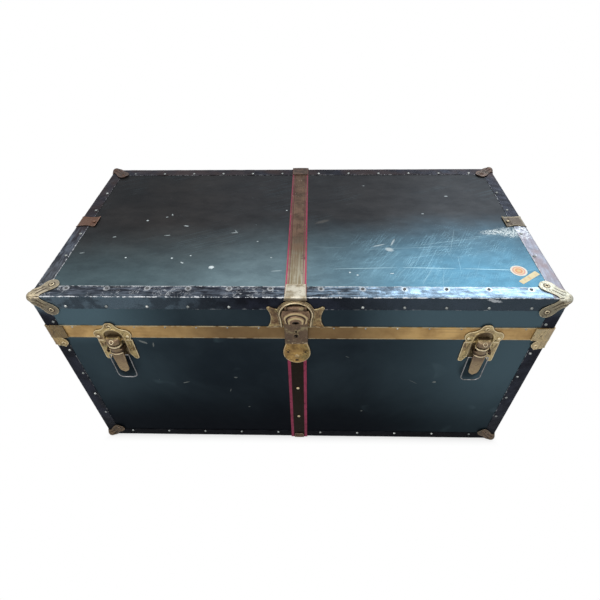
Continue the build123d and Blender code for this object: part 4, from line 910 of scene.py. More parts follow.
def end_clamp(side):
    """One clamp: a strip of squares folded over the trunk's end edge."""
    piece = squares(60, 24)
    edge = low.x if side < 0 else high.x
    on_lid_top, down_end = 0.032, 0.020
    wear_and_painted_light = []
    for vertex in piece.data.vertices:
        along = on_lid_top - (vertex.co.x + 1) / 2 * 0.052
        leg, reach = (on_lid_top, along) if along > 0 else (down_end, -along)
        half = 0.0122 + 0.0028 * abs(2 * reach / leg - 1) ** 1.6
        to_side = (1 - abs(vertex.co.y)) * half
        border = max(near(to_side, 0.0021), near(leg - reach, 0.0021))
        lip = near(on_lid_top - along, 0.0040) if along > 0 else 0.0
        rise = 0.0006 + 0.0006 * border + 0.0014 * lip ** 2
        if along > 0.0215:
            rise -= 0.0009 * min(1.0, (along - 0.0215) / 0.003)
        inward, down = max(0.0, along), max(0.0, -along)
        point = Vector((edge - side * inward, middle_y + vertex.co.y * half, high.z - down))
        rise += dents(point, 0.009, 4.0) * 0.0003
        vertex.co = over_edges(point, rise, 0.0028)
        fold = near(abs(along), 0.004)
        wear_and_painted_light.append(max(border * 0.9, fold * 0.7) - 0.45 * (1 - border) * (1 - fold))
    rub(piece, wear_and_painted_light)
    if side < 0:
        piece.data.flip_normals()
    return finish_wall(piece, 0.0007, 50.0)


end_clamps = joined("end_clamps", [end_clamp(-1), end_clamp(1)])
fit(end_clamps, brass, "lid", "aged_brass", "edge_clamps")

# ---------------------------------------------------------------- centre strap
# A strip of enamelled steel runs from the back over the lid and down the front: olive
# tan with a pink stripe along each side, rubbed pale towards the lid's front edge and
# nearly black down the case.
strap = Finish("striped_strap", Metallic=0.4, Specular_IOR_Level=0.06)
wear = strap.cloud(48.0, 5.0, 0.65)
drag = strap.cloud(1.0, 4.0, 0.6, strap.turned(size=(0.0022, 0.06, 0.05)))
tan = strap.blend((0.070, 0.043, 0.030), (0.160, 0.100, 0.070), wear.ease(0.32, 0.66))
tan = tan.coat((0.060, 0.036, 0.022), drag.ease(0.50, 0.72) * 0.6)
low_part = strap.z.ease(0.262, 0.235)
tan = tan.coat((0.010, 0.006, 0.003), low_part * 0.98)
pale_end = (strap.y + wear * 0.08).ease(0.01, -0.13) * strap.z.ease(0.375, 0.379)
streaks = (drag + wear * 0.5).ease(0.58, 0.88)
pale = strap.blend((0.46, 0.43, 0.33), (0.28, 0.225, 0.135), streaks)
tan = tan.coat(pale, pale_end * wear.ease(0.22, 0.42) * 0.9)
from_middle = abs(strap.x)
down_front = strap.z.ease(0.378, 0.372)
wide = from_middle.ease(0.0101, 0.0105) * from_middle.ease(0.0154, 0.0150)
thin = from_middle.ease(0.0126, 0.0129) * from_middle.ease(0.0151, 0.0148)
inner = from_middle.ease(0.0100, 0.0103) * from_middle.ease(0.0112, 0.0109)
pink = wide * down_front | (thin | inner * 0.5) * (1 - down_front)
worn_off = strap.cloud(120.0, 5.0, 0.7).ease(0.60, 0.68)
stripe = strap.blend((0.30, 0.045, 0.095), (0.17, 0.030, 0.055), wear.ease(0.4, 0.7))
stripe = stripe.coat((0.50, 0.080, 0.165), pale_end * 0.8)
stripe = stripe.coat((0.155, 0.045, 0.058), strap.y.ease(0.00, 0.14) * (1 - down_front) * 0.6)
tan = tan.coat(stripe, pink * (1 - worn_off * 0.75))
gap = from_middle.ease(0.0088, 0.0100) * from_middle.ease(0.0104, 0.0100)
tan = tan.coat((0.030, 0.008, 0.010), gap * 0.7)
scuff = strap.cloud(170.0, 5.0, 0.7).ease(0.63, 0.70) | strap.specks(60.0, 0.09, 0.12)
tan = tan.coat((0.45, 0.40, 0.30), scuff * (1 - low_part * 0.8) * 0.6)
strap.put(
    Base_Color=tan,
    Roughness=0.40 + wear * 0.18,
    Normal=strap.relief(wear * 0.8 + drag * 0.3 - gap * 0.4, 0.0006),
)
dress(strap, "lid_strap", "front_strap", "back_strap")

# ---------------------------------------------------------------- strap clamps and clip
# Brass clamps hold the strap where it turns over the lid's front and back edges, and a
# small clip holds it at the trunk's bottom edge. The front one is worn to a pale cream.


def traced(parts, pitch, passes=2, closed=True):
    """Points a pitch apart along a line in millimetres, arcs by three points, eased."""
    arc_steps = 16
    line = []
    for part in parts:
        if not isinstance(part[0], tuple):
            line.append(Vector(part))
            continue
        a, m, b = (Vector(p) for p in part)
        d = 2 * (a.x * (m.y - b.y) + m.x * (b.y - a.y) + b.x * (a.y - m.y))
        aa, mm, bb = a.dot(a), m.dot(m), b.dot(b)
        heart = Vector((
            (aa * (m.y - b.y) + mm * (b.y - a.y) + bb * (a.y - m.y)) / d,
            (aa * (b.x - m.x) + mm * (a.x - b.x) + bb * (m.x - a.x)) / d,
        ))
        spokes = [p - heart for p in (a, m, b)]
        turn = sum(
            math.atan2(p.x * q.y - p.y * q.x, p.dot(q)) for p, q in zip(spokes, spokes[1:])
        )
        p = spokes[0]
        for step in range(arc_steps + 1):
            c, s = math.cos(turn * step / arc_steps), math.sin(turn * step / arc_steps)
            line.append(heart + Vector((c * p.x - s * p.y, s * p.x + c * p.y)))
    if closed:
        line.append(line[0])
    reach = [0.0]
    for a, b in zip(line, line[1:]):
        reach.append(reach[-1] + (b - a).length)
    count = max(3, round(reach[-1] / pitch))
    points, at = [], 0
    for step in range(count if closed else count + 1):
        far = reach[-1] * step / count
        while at < len(line) - 2 and reach[at + 1] < far:
            at += 1
        span = max(1e-9, reach[at + 1] - reach[at])
        points.append(line[at].lerp(line[at + 1], (far - reach[at]) / span) * 0.001)
    for _ in range(passes):
        eased = [
            (points[k - 1] + p * 2 + points[(k + 1) % len(points)]) / 4
            for k, p in enumerate(points)
        ]
        points = eased if closed else [points[0]] + eased[1:-1] + [points[-1]]
    return points


def folded(name, line, halves, bead, shade):
    """A strip bent along a line of (y, z), its half width given at shares of its length."""
    count = len(line) - 1
    piece = squares(count, 24)
    piece.name = name
    wear_and_painted_light = []
    for vertex in piece.data.vertices:
        k = round((vertex.co.x + 1) / 2 * count)
        share = k / count * (len(halves) - 1)
        first = min(int(share), len(halves) - 2)
        half = halves[first] + (halves[first + 1] - halves[first]) * (share - first)
        run = (line[min(k + 1, count)] - line[max(k - 1, 0)]).normalized()
        side = vertex.co.y
        edge = near((1 - abs(side)) * half, 0.0016)
        end = near(min(k, count - k), 2.5)
        rise = bead * max(edge, end) + 0.0003 * (1 - side * side)
        out = line[k] + Vector((-run.y, run.x)) * rise
        vertex.co = (side * half, out.x, out.y)
        wear_and_painted_light.append(max(edge, end) * 0.8 + shade(k / count))
    rub(piece, wear_and_painted_light)
    return finish_wall(piece, 0.0009, 50.0)


clamp_line = traced(
    [(-188.2, 376.4), (-188.2, 380.9), (-186.6, 381.1), (-161.1, 381.1)], 0.5, 3, False
)
clamp_halves = [0.0165, 0.0150, 0.0145, 0.0145, 0.0142]
bead = 0.0004
front_clamp = folded(
    "strap_clamp_front", clamp_line, clamp_halves, bead, lambda s: 0.95 if s > 0.10 else 0.1
)
cream = Finish("cream_brass", Metallic=0.75, Specular_IOR_Level=0.4)
handled = cream.cloud(60.0, 6.0, 0.65)
cream_tone = cream.blend((0.60, 0.56, 0.46), (0.27, 0.22, 0.145), handled.ease(0.42, 0.64))
dirt = cream.cloud(300.0, 4.0, 0.7).ease(0.56, 0.70)
cream_tone = cream_tone.coat((0.16, 0.12, 0.075), dirt * 0.7)
cream_tone = cream_tone.coat((0.150, 0.115, 0.070), cream.z.ease(0.3805, 0.3785) * 0.88)
cream.put(
    Base_Color=cream_tone,
    Roughness=0.30 + handled * 0.2,
    Normal=cream.relief(handled * 1.5 + cream.cloud(260.0, 3.0) * 0.4, 0.0005),
)
fit(front_clamp, cream, "lid", "aged_brass", "strap_front_clamp")
back_line = [Vector((2 * middle_y - p.x, p.y)) for p in reversed(clamp_line)]
back_clamp = folded("strap_clamp_back", back_line, clamp_halves[::-1], bead, lambda s: 0.2)
fit(back_clamp, brass, "lid", "aged_brass", "strap_back_clamp")
clip_line = traced([(-173.4, 2.5), (-187.6, 2.5), (-188.2, 3.2), (-188.2, 15.9)], 0.5, 3, False)
clip = folded("strap_clip", clip_line, [0.0085, 0.0090, 0.0092, 0.0080], 0.0003, lambda s: 0.3)
fit(clip, brass, "case", "steel_wire", "strap_bottom_clip")

# ---------------------------------------------------------------- hinges and end handles
# Two butt hinges at the back, and a drop handle with its plate and lugs on each end, all
# of steel that has gone dark brown, with flecks of bare metal showing.
dark_steel = Finish("dark_steel", Metallic=0.85)
crust = dark_steel.cloud(46.0, 6.0, 0.65)
pits = dark_steel.cloud(380.0, 4.0, 0.7)
iron = dark_steel.blend((0.075, 0.062, 0.052), (0.030, 0.026, 0.024), crust.ease(0.36, 0.64))
iron = iron.coat((0.13, 0.060, 0.028), (pits * 0.7 + crust * 0.4).ease(0.60, 0.76) * 0.65)
iron = iron.coat((0.30, 0.29, 0.27), pits.ease(0.66, 0.74) * 0.5)
dark_steel.put(
    Base_Color=iron,
    Roughness=0.36 + crust * 0.25,
    Normal=dark_steel.relief(pits * 0.4 + crust, 0.0004),
)
dress(dark_steel, "case_hinge_leaves", "lid_hinge_leaves", "hinge_pins")
dress(dark_steel, "left_handle", "left_handle_plate")
dress(dark_steel, "right_handle", "right_handle_plate")

# ---------------------------------------------------------------- nails and pins
# Domed steel nails along every binding, and smaller pins along the band's top edge,
# dull grey. Those along the lid's front edge are dark, each in a ring of bare metal.
nail = Finish("nail_steel", Metallic=0.7, Specular_IOR_Level=0.5)
spot = nail.cloud(160.0, 4.0, 0.65)
head = nail.blend((0.30, 0.32, 0.31), (0.13, 0.14, 0.14), spot.ease(0.38, 0.64))
head = head.coat((0.62, 0.64, 0.62), nail.cloud(70.0, 3.0).ease(0.52, 0.68) * 0.8)
in_ring = nail.z.ease(0.3785, 0.3795) * nail.y.ease(-0.14, -0.16)
head = head.coat((0.060, 0.060, 0.066), in_ring * 0.8)
nail.put(Base_Color=head, Roughness=0.30 + spot * 0.2, Normal=nail.relief(spot, 0.0002))
dress(nail, "lid_nails", "case_nails", "band_pins")

# ---------------------------------------------------------------- rivets and eyelets
# The brass work is held by hollow eyelets on the caps and by small brass rivets
# elsewhere, each darkened round its foot, and the eyelets painted with shade in their holes.


def skin(name, rings, rubs, smooth=40.0):
    """A closed skin through rings of points: a grid rolled up, with its seam merged."""
    around, steps = len(rings[0]), len(rings) - 1
    piece = squares(around, steps)
    piece.name = name
    shades = []
    for vertex in piece.data.vertices:
        i = round((vertex.co.x + 1) / 2 * around) % around
        j = round((vertex.co.y + 1) / 2 * steps)
        vertex.co = rings[j][i]
        shades.append(rubs[j][i] if isinstance(rubs[j], (list, tuple)) else rubs[j])
    rub(piece, shades)
    merge_seams(2e-6)
    bpy.ops.object.shade_smooth_by_angle(angle=math.radians(smooth))
    piece.select_set(False)
    return piece


def turned_piece(name, point, out, profile, sides=16):
    """A round piece on a face: (radius, height, rubbed) steps in millimetres."""
    out = Vector(out).normalized()
    across = out.orthogonal().normalized()
    along = out.cross(across)
    rings = []
    for radius, height, _ in profile:
        ring = []
        for k in range(sides):
            turn = k / sides * 2 * math.pi
            spoke = across * math.cos(turn) + along * math.sin(turn)
            ring.append(Vector(point) + spoke * radius * 0.001 + out * height * 0.001)
        rings.append(ring)
    return skin(name, rings, [shade for _, _, shade in profile])


eyelet = [(0, -0.9, -1), (3.7, -0.9, -1), (3.7, 0.0, -0.6), (3.4, 0.7, 0.6), (2.7, 1.1, 1.1),
          (2.1, 0.9, 0.3), (1.75, 0.3, -1), (1.5, -0.2, -1), (0, -0.25, -1)]
rivet = [(0, -0.5, -1), (2.9, -0.5, -1), (2.9, 0.25, 0.2), (2.5, 0.8, 0.8), (1.7, 1.15, 1.1),
         (0.8, 1.3, 1.1), (0, 1.32, 1.1)]
dull_rivet = [(0, -0.5, -1), (2.7, -0.5, -0.8), (2.7, 0.2, 0), (2.3, 0.6, 0.3),
              (1.5, 0.85, 0.4), (0, 0.95, 0.4)]
sunk_rivet = [(0, -0.5, -1), (3.6, -0.5, -1), (3.5, 0.3, -1), (2.9, 0.8, 0.5),
              (2.3, 0.9, -0.2), (1.7, 0.8, -1), (0, 0.7, -1)]
front, back, above = (0, -1, 0), (0, 1, 0), (0, 0, 1)
catch_x, hinge_x = 0.281, 0.230
on_lid, on_case = [], []
# Each seat is a point, the way its face looks and the head that goes there. Side is -1
# at the left and 1 at the right, and sign sets two like seats either side of a middle.
for side in (-1, 1):
    out = (side, 0, 0)
    for sign, face in ((-1, front), (1, back)):
        x, y = side * 0.35376, middle_y + sign * 0.16476
        face_y, face_x = middle_y + sign * 0.1908, side * 0.3798
        rim_y, rim_end_y = middle_y + sign * 0.1904, middle_y + sign * 0.17498
        on_lid += [((x, y, 0.3814), above, eyelet), ((x, face_y, 0.35526), face, eyelet)]
        on_lid.append(((face_x, y, 0.35526), out, eyelet))
        on_case += [((x, face_y, 0.02774), face, eyelet), ((face_x, y, 0.02774), out, eyelet)]
        on_case.append(((side * 0.36398, rim_y, 0.2816), face, eyelet))
        on_case.append(((side * 0.3794, rim_end_y, 0.2816), out, eyelet))
        on_lid.append(((side * hinge_x + sign * 0.022, 0.1935, 0.309), back, rivet))
        on_case.append(((side * hinge_x + sign * 0.022, 0.1925, 0.279), back, rivet))
        on_case.append(((side * 0.3790, middle_y + sign * 0.018, 0.195), out, rivet))
        on_lid.append(((side * catch_x + sign * 0.0225, -0.1888, 0.2989), front, rivet))
        on_case.append(((side * catch_x + sign * 0.0205, -0.1878, 0.266), front, dull_rivet))
        on_lid.append(((side * 0.0372, -0.1884, 0.3406 + sign * 0.0172), front, dull_rivet))
    on_lid.append(((side * 0.3525, middle_y, 0.3806), above, rivet))
    on_lid.append(((side * 0.3794, middle_y, 0.366), out, rivet))
    on_lid.append(((side * catch_x, -0.1888, 0.3195), front, eyelet))
    on_case.append(((side * 0.0135, -0.1890, 0.266), front, sunk_rivet))
for z in (0.166, 0.077):
    on_case += [((0, -0.1876, z), front, rivet), ((0, 0.1924, z), back, rivet)]
lid_heads = [turned_piece(f"lid_head_{k}", *seat) for k, seat in enumerate(on_lid)]
fit(joined("lid_fixings", lid_heads), brass, "lid", "aged_brass", "lid_rivets")
case_heads = [turned_piece(f"case_head_{k}", *seat) for k, seat in enumerate(on_case)]
fit(joined("case_fixings", case_heads), brass, "case", "aged_brass", "case_rivets")

# ---------------------------------------------------------------- catch strikes
# Each catch's upper plate is pressed brass on the lid: a lobe above with an eyelet, two
# round shoulders with rivets, and a raised arch over the knob that the lever catches.


def plate(name, outline, lay, profile, heart, relief=None, fill=12):
    """A pressed plate: its outline, edge steps (inset, height, rubbed), and its field."""
    count = len(outline)
    insides = []
    for k in range(count):
        run = outline[(k + 1) % count] - outline[k - 1]
        insides.append(Vector((-run.y, run.x)).normalized())
    heart = Vector(heart) * 0.001
    levels = [(0.0, profile[0][1], -1.0, [heart] * count)]
    for inset, height, shade in profile:
        ring = [p + n * inset * 0.001 for p, n in zip(outline, insides)]
        levels.append((inset, height, shade, ring))
    last = levels[-1]
    for step in range(1, fill + 1):
        ring = [p.lerp(heart, step / fill) for p in last[3]]
        levels.append((9.0, last[1], last[2], ring))
    rings, rubs = [], []
    for inset, height, shade, ring in levels:
        lifts, shades = [], []
        for p in ring:
            more, dark = relief(p.x * 1000, p.y * 1000) if relief and inset > 2 else (0, 0)
            lifts.append(lay(p.x, p.y, (height + more) * 0.001))
            shades.append(shade + dark)
        rings.append(lifts)
        rubs.append(shades)
    return skin(name, rings, rubs)


def capped(rings):
    """Close a run of rings at both ends, each onto its middle."""
    first, last = (sum(rings[end], Vector()) / len(rings[end]) for end in (0, -1))
    return [[first] * len(rings[0]), *rings, [last] * len(rings[-1])]


def sweep(name, line, section):
    """A bar carried along a line on the front: (side, out, rubbed) steps in millimetres."""
    out = Vector((0, -1, 0))
    rings = []
    for k, point in enumerate(line):
        run = (line[min(k + 1, len(line) - 1)] - line[max(k - 1, 0)]).normalized()
        side = run.cross(out).normalized()
        up = side.cross(run)
        rings.append([point + side * a * 0.001 + up * b * 0.001 for a, b, _ in section])
    rings = capped(rings)
    return skin(name, rings, [[shade for _, _, shade in section]] * len(rings))


def on_front(face):
    """Lay a plate on a front face: x across, z up, and its height forwards."""
    return lambda u, v, h: Vector((u, face - h, v))


def mirrored(parts):
    """Close a right-hand half outline with its mirror image."""
    twin = []
    for part in reversed(parts):
        if isinstance(part[0], tuple):
            twin.append(tuple((-x, y) for x, y in reversed(part)))
        else:
            twin.append((-part[0], part[1]))
    return parts + twin


pressed_edge = [(0, 0, -0.9), (0, 0.9, -0.5), (0.12, 1.35, 0.2), (0.45, 1.75, 0.7),
                (1.0, 1.9, 0.75), (1.7, 1.75, 0.4), (2.5, 1.5, 0.1), (3.2, 1.45, 0.05)]


def arch_field(x, z):
    """The pressed field: sunk and painted with shade under the arch, and bossed up round the
    eyelet.
    """
    half, foot, rise = 15.5, 299.5, 14.0
    if abs(x) < half and z < foot + math.sqrt(1 - (x / half) ** 2) * rise:
        return -1.0, -0.42
    lobe = math.hypot(x, z - 319.5)
    return 0.5 * near(lobe, 6.0), 0.15


strike_half = [(26, 289.8), (26, 294.4), ((26, 294.4), (29, 303.4), (22, 312.4)),
               ((22, 312.4), (14, 314.9), (8.5, 322)), ((8.5, 322), (6.0, 325.6), (0, 327))]
strike_outline = traced(mirrored(strike_half), 0.9)
strike_plate = plate(
    "strike_plate", strike_outline, on_front(-0.1871), pressed_edge, (0, 303), arch_field, 18
)
arch_line = [
    Vector((p.x, -0.1884, p.y))
    for p in traced([
        (-15.5, 289.8), ((-15.5, 299.4), (0, 313.6), (15.5, 299.4)), (15.5, 289.8)], 0.9, 2, False)
]
half_round = [(-2.1, -0.4, -0.5), (-1.9, 0.4, -0.1), (-1.4, 1.0, 0.2), (-0.5, 1.35, 0.5),
              (0.5, 1.35, 0.5), (1.4, 1.0, 0.2), (1.9, 0.4, -0.1), (2.1, -0.4, -0.5)]
arch = sweep("arch", arch_line, half_round)


def plan_ring(half, back_y, front_y, z, grow=0.0, push=0.0):
    """A half-round ring in plan: flat behind and bulging forwards, at a height."""
    side_y = front_y + (back_y - front_y) * 0.42
    half, front_y = half + grow, front_y - grow + push
    side_y = max(side_y - grow * 0.5, front_y + 0.4)
    back_y = max(back_y, side_y + 0.2)
    line = traced(
        [(-half, back_y), (half, back_y), (half, side_y),
         ((half, side_y), (0, front_y), (-half, side_y))], 1.2, 1
    )
    return [Vector((p.x, p.y, z * 0.001)) for p in line]


def stacked(name, levels, half, back_y, front_y):
    """A block built up from half-round rings: (height, grow, push, rubbed) steps."""
    rings = [plan_ring(half, back_y, front_y, z, grow, push) for z, grow, push, _ in levels]
    fewest = min(len(ring) for ring in rings)
    even = [[ring[int(k * len(ring) / fewest)] for k in range(fewest)] for ring in rings]
    rubs = [shade for _, _, _, shade in levels]
    return skin(name, capped(even), [rubs[0], *rubs, rubs[-1]], 50.0)


knob = stacked("knob", [
    (288.6, -0.9, 0, -0.9), (288.8, -0.3, 0, -0.6), (289.6, 0, 0, 0.3), (291.5, 0.1, 0, 0.2),
    (294, 0.1, 0, 0.1), (296, 0, 0, 0.4), (297.3, 0, 0.7, 0.4), (298.4, -0.1, 2.4, 0.25),
    (299.2, -0.5, 4.1, 0), (299.7, -1.2, 5.6, -0.2), (300, -2.2, 7.2, -0.6)],
    10.5, -188.0, -200.3)
boss = turned_piece("boss", (0, -0.1990, 0.2966), (0, -1, 0.8), [
    (0, -0.8, 0), (3.9, -0.8, -0.9), (3.7, 0.3, 0.2), (3.3, 0.75, 1.1), (2.7, 0.75, 1.0),
    (2.3, 0.3, -0.9), (1.9, 0.25, -0.5), (1.4, 0.5, 0.7), (0, 0.65, 0.9)], 24)
strike = joined("left_strike_plate", [strike_plate, arch, knob, boss])


def pair(piece, name, finish, body, slot, node):
    """Move a piece made at the middle to the left catch, and copy it to the right one."""
    twin = piece.copy()
    twin.data = piece.data.copy()
    scene.collection.objects.link(twin)
    for side, one in ((-1, piece), (1, twin)):
        word = "left" if side < 0 else "right"
        one.name = f"{word}_{name}"
        one.data.transform(Matrix.Translation((side * catch_x, 0, 0)))
        fit(one, finish, body.format(word), slot, node.format(word))


pair(strike, "strike_plate", brass, "lid", "aged_brass", "{}_strike")

# ---------------------------------------------------------------- catch bases
# The lower plate on the case has two broad legs, a thin dark web between them, and two
# ears that carry the lever's pin.


def leg_outline(side):
    """One leg's outline, rounded at the foot."""
    parts = [(13.8, 256), (18.2, 248.0), ((18.2, 248.0), (23.4, 244), (27, 249.5)),
             (27, 289.5), (13.8, 289.5)]
    points = traced(parts, 0.9)
    return points if side > 0 else [Vector((-p.x, p.y)) for p in reversed(points)]


on_case_front = on_front(-0.1861)
legs = [
    plate(f"leg_{side}", leg_outline(side), on_case_front, pressed_edge, (side * 20.5, 270),
          None, 6)
    for side in (-1, 1)
]
# Painted shade: the web's rub values are all below nought, so it is dark.
web_edge = [(0, 0, -1), (0, 0.5, -0.8), (0.4, 0.8, -0.5), (2.1, 0.8, -0.3)]
web = plate(
    "web", traced([(-14.6, 253), (14.6, 253), (14.6, 289.4), (-14.6, 289.4)], 1.2, 1),
    on_case_front, web_edge, (0, 271), None, 6
)
ear_outline = traced([
    (-186.3, 273.4), (-186.3, 280.6), (-196.4, 280.6),
    ((-196.4, 280.6), (-200.0, 277), (-196.4, 273.4))], 0.8, 1)
ear_outline.reverse()


def ear(name, x, outline, heart, thick, shade):
    """A lug that stands out from a plate, seen from its side."""
    edge = [(0, 0, shade), (0, thick - 0.4, shade), (0.4, thick, shade + 0.3), (1.2, thick, shade)]
    return plate(name, outline, lambda u, v, h: Vector((x + h, u, v)), edge, heart, None, 3)


ears = [ear("ear_left", -0.0126, ear_outline, (-194, 277), 2.0, -0.6)]
ears.append(ear("ear_right", 0.0106, ear_outline, (-194, 277), 2.0, -0.6))
base = joined("catch_base_plate", legs + [web] + ears)
pair(base, "base_plate", brass, "case", "aged_brass", "{}_catch_base")
dress(brass, "catch_pins")

# ---------------------------------------------------------------- catch levers
# The lever is a half-round barrel with a bright collar above and below, drawn out to a
# flat dished tongue with a rounded point, gone tan where fingers pull it.
barrel = stacked("barrel", [
    (268.0, -5.2, 3.6, -0.6), (268.2, -2.2, 2.0, -0.3), (268.6, -0.4, 0.6, 0.5),
    (269.2, 0.5, 0, 1.1),
    (270.2, 0.6, 0, 1.1), (270.9, 0.1, 0, 0.1), (271.4, -0.6, 0, -0.8), (272.6, -0.7, 0, -0.4),
    (277, -0.6, 0, -0.1), (281.2, -0.7, 0, -0.3), (282.4, -0.6, 0, -0.8), (283.0, 0.1, 0, 0.3),
    (283.7, 0.5, 0, 1.1), (284.8, 0.4, 0, 1.1), (285.4, -0.6, 0.6, 0.5), (285.8, -2.2, 2.0, 0),
    (286.0, -5.2, 3.6, -0.6)], 9.9, -189.0, -200.6)


def tongue_place(u, v, h):
    """The tongue's front is nearly upright, and its top thickens to hold the bail."""
    deep = 0.0024 * climb(v - 0.2545, 0.003) if h <= 0 else 0.0
    return Vector((u, -0.1954 + deep - h, v))


def tongue_dish(x, z):
    """Dished along its middle, deeper towards the tip."""
    return -0.35 * max(0.0, 1 - (x / 6.0) ** 2), 0.15 - 0.3 * climb(z - 236, 20)


tongue_outline = traced(
    [(-9.9, 270.5), (-9.8, 262), (-8.0, 230.5), (-6.4, 225.6), (0, 221), (6.4, 225.6),
     (8.0, 230.5), (9.8, 262), (9.9, 270.5)], 0.8, 2
)
tongue_edge = [(0, 0, -0.9), (0, 0.9, -0.3), (0.15, 1.5, 0.2), (0.5, 1.85, 0.5), (1.1, 1.95, 0.4),
               (1.8, 1.75, 0.0), (2.6, 1.65, -0.1)]
tongue = plate("tongue", tongue_outline, tongue_place, tongue_edge, (0, 246), tongue_dish, 8)
lever = joined("catch_lever", [barrel, tongue])
pair(lever, "lever", brass, "{}_lever", "aged_brass", "{}_catch_lever")

# ---------------------------------------------------------------- catch bails
# A bail of light steel wire, dulled grey, hangs from each lever, with its two ends
# turned in through the lever's sides.
bail_steel = Finish("bail_wire", Metallic=0.9)
dulled = bail_steel.cloud(130.0, 5.0, 0.65)
wire_tone = bail_steel.blend((0.33, 0.33, 0.34), (0.13, 0.12, 0.11), dulled.ease(0.42, 0.68))
bail_steel.put(
    Base_Color=wire_tone,
    Roughness=0.32 + dulled * 0.2,
    Normal=bail_steel.relief(dulled, 0.0002),
)
bail_line = [
    Vector((p.x, -0.1949, p.y))
    for p in traced([
        (-7.4, 262), (-13.8, 262), ((-13.8, 262), (-14.93, 261.53), (-15.4, 260.4)),
        ((-15.4, 214), (-12.76, 207.64), (-6.4, 205)), ((6.4, 205), (12.76, 207.64), (15.4, 214)),
        ((15.4, 260.4), (14.93, 261.53), (13.8, 262)), (7.4, 262)], 0.9, 0, False)
]
wire_radius = 0.85
wire_round = [
    (wire_radius * math.cos(k * math.pi / 5), wire_radius * math.sin(k * math.pi / 5), 0.5)
    for k in range(10)
]
bail = sweep("bail", bail_line, wire_round)
pair(bail, "wire_bail", bail_steel, "{}_bail", "steel_wire", "{}_catch_bail")

# ---------------------------------------------------------------- lock plate
# A star-shaped brass plate on the lid with four pinched points, each riveted, and a high
# half-round ring, open below, round the hasp.
star_half = [(0, 321), (19, 322.2), ((19, 322.2), (29, 322.2), (36.6, 318.8)),
             ((36.6, 318.8), (40.8, 319.1), (41.0, 323.2)),
             ((41.0, 323.2), (36.8, 340.75), (41.0, 357.8)),
             ((41.0, 357.8), (40.9, 362.2), (36.8, 362.8)),
             ((36.8, 362.8), (31.8, 359.4), (26.4, 358)),
             ((26.4, 358), (18.5, 369.4), (0, 376))]


def under_hasp(x, z):
    """The ground under the hasp is sunk and painted with shade, and each point is pinched up."""
    if math.hypot(x, z - 348.5) < 23:
        return -1.0, -0.45
    tip = min(math.hypot(abs(x) - 38.0, z - q) for q in (359.4, 321.8))
    return 0.9 * near(tip, 6.0), 0.35 * near(tip, 6.0) - 0.05


def lock_place(u, v, h):
    """The plate lies on the lid wall below, and on the edge binding above."""
    behind = -0.1862 if v < 0.3555 else -0.1872
    return Vector((u, behind if h <= 0 else -0.1862 - h, v))


star_edge = [(0, 0, -0.6), (0, 1.2, 0.0), (0.15, 1.7, 0.3), (0.5, 2.15, 0.55), (1.1, 2.35, 0.6),
             (1.6, 2.2, 0.3), (2.05, 2.1, 0.1)]
star_outline = traced(mirrored(star_half), 0.9, 2)
star = plate("star", star_outline, lock_place, star_edge, (0, 340.5), under_hasp, 20)
ring_line = [Vector((p.x, -0.1881, p.y)) for p in traced(
    [(22.1, 324.5), ((23.26, 340.03), (0, 373.25), (-23.26, 340.03)), (-22.1, 324.5)],
    0.9, 3, False)]
ring_section = [(-2.75, -0.6, -0.8), (-2.7, 1.3, -0.3), (-2.3, 2.0, 0.5), (-1.7, 2.0, 0.6),
                (-1.35, 1.3, -1.0), (-1.1, 1.5, -0.8), (-0.7, 2.7, 0.5), (0.2, 3.4, 0.6),
                (1.2, 3.35, 0.75), (2.0, 2.6, 0.75), (2.6, 1.2, 0.5), (2.75, -0.6, -0.6)]
ring = sweep("ring", ring_line, [(-a, b, c) for a, b, c in ring_section])
lug_outline = traced([
    (-188.2, 360.7), (-188.2, 366.3), (-191.7, 366.7),
    ((-191.7, 366.7), (-194.9, 363.5), (-191.7, 360.3))], 0.7, 1)
lug_outline.reverse()
lugs = [ear("lug_left", -0.0155, lug_outline, (-191, 363.5), 3.0, -0.4)]
lugs.append(ear("lug_right", 0.0125, lug_outline, (-191, 363.5), 3.0, -0.4))
fit(joined("lock_star", [star, ring] + lugs), brass, "lid", "aged_brass", "lock_plate")
dress(brass, "hasp_pin")

# ---------------------------------------------------------------- hasp and key plug
# The hasp hangs from a pin in the lock plate: a stepped dome with a dark oval hole in
# its middle, and below it a flat flap with a small hole and the round key plug.
hasp_brass = Finish("hasp_brass", Metallic=0.8, Specular_IOR_Level=0.4)
hasp_wear_and_shade = hasp_brass.rubbing()
tarnish = hasp_brass.cloud(52.0, 6.0, 0.65)
fine_grit = hasp_brass.cloud(360.0, 4.0, 0.65)
tone = hasp_brass.blend((0.150, 0.095, 0.062), (0.34, 0.225, 0.135), tarnish.ease(0.36, 0.66))
# Painted shade: the hasp is coloured darker at its top, under the ring.
tone = tone.coat((0.055, 0.032, 0.024), hasp_brass.z.ease(0.3560, 0.3600) * 0.45)
plain_part = hasp_brass.z.ease(0.3350, 0.3310)
tone = tone.coat((0.092, 0.062, 0.040), plain_part * 0.75)
tone = tone.coat((0.42, 0.36, 0.19), hasp_brass.cloud(90.0, 4.0).ease(0.54, 0.70) * 0.6)
dirty = (fine_grit * 0.6 + tarnish * 0.5).ease(0.58, 0.72)
tone = tone.coat((0.060, 0.038, 0.028), dirty * 0.7)
tone = tone.coat((0.62, 0.50, 0.27), (hasp_wear_and_shade + fine_grit * 0.5).ease(0.85, 1.15) * 0.8)
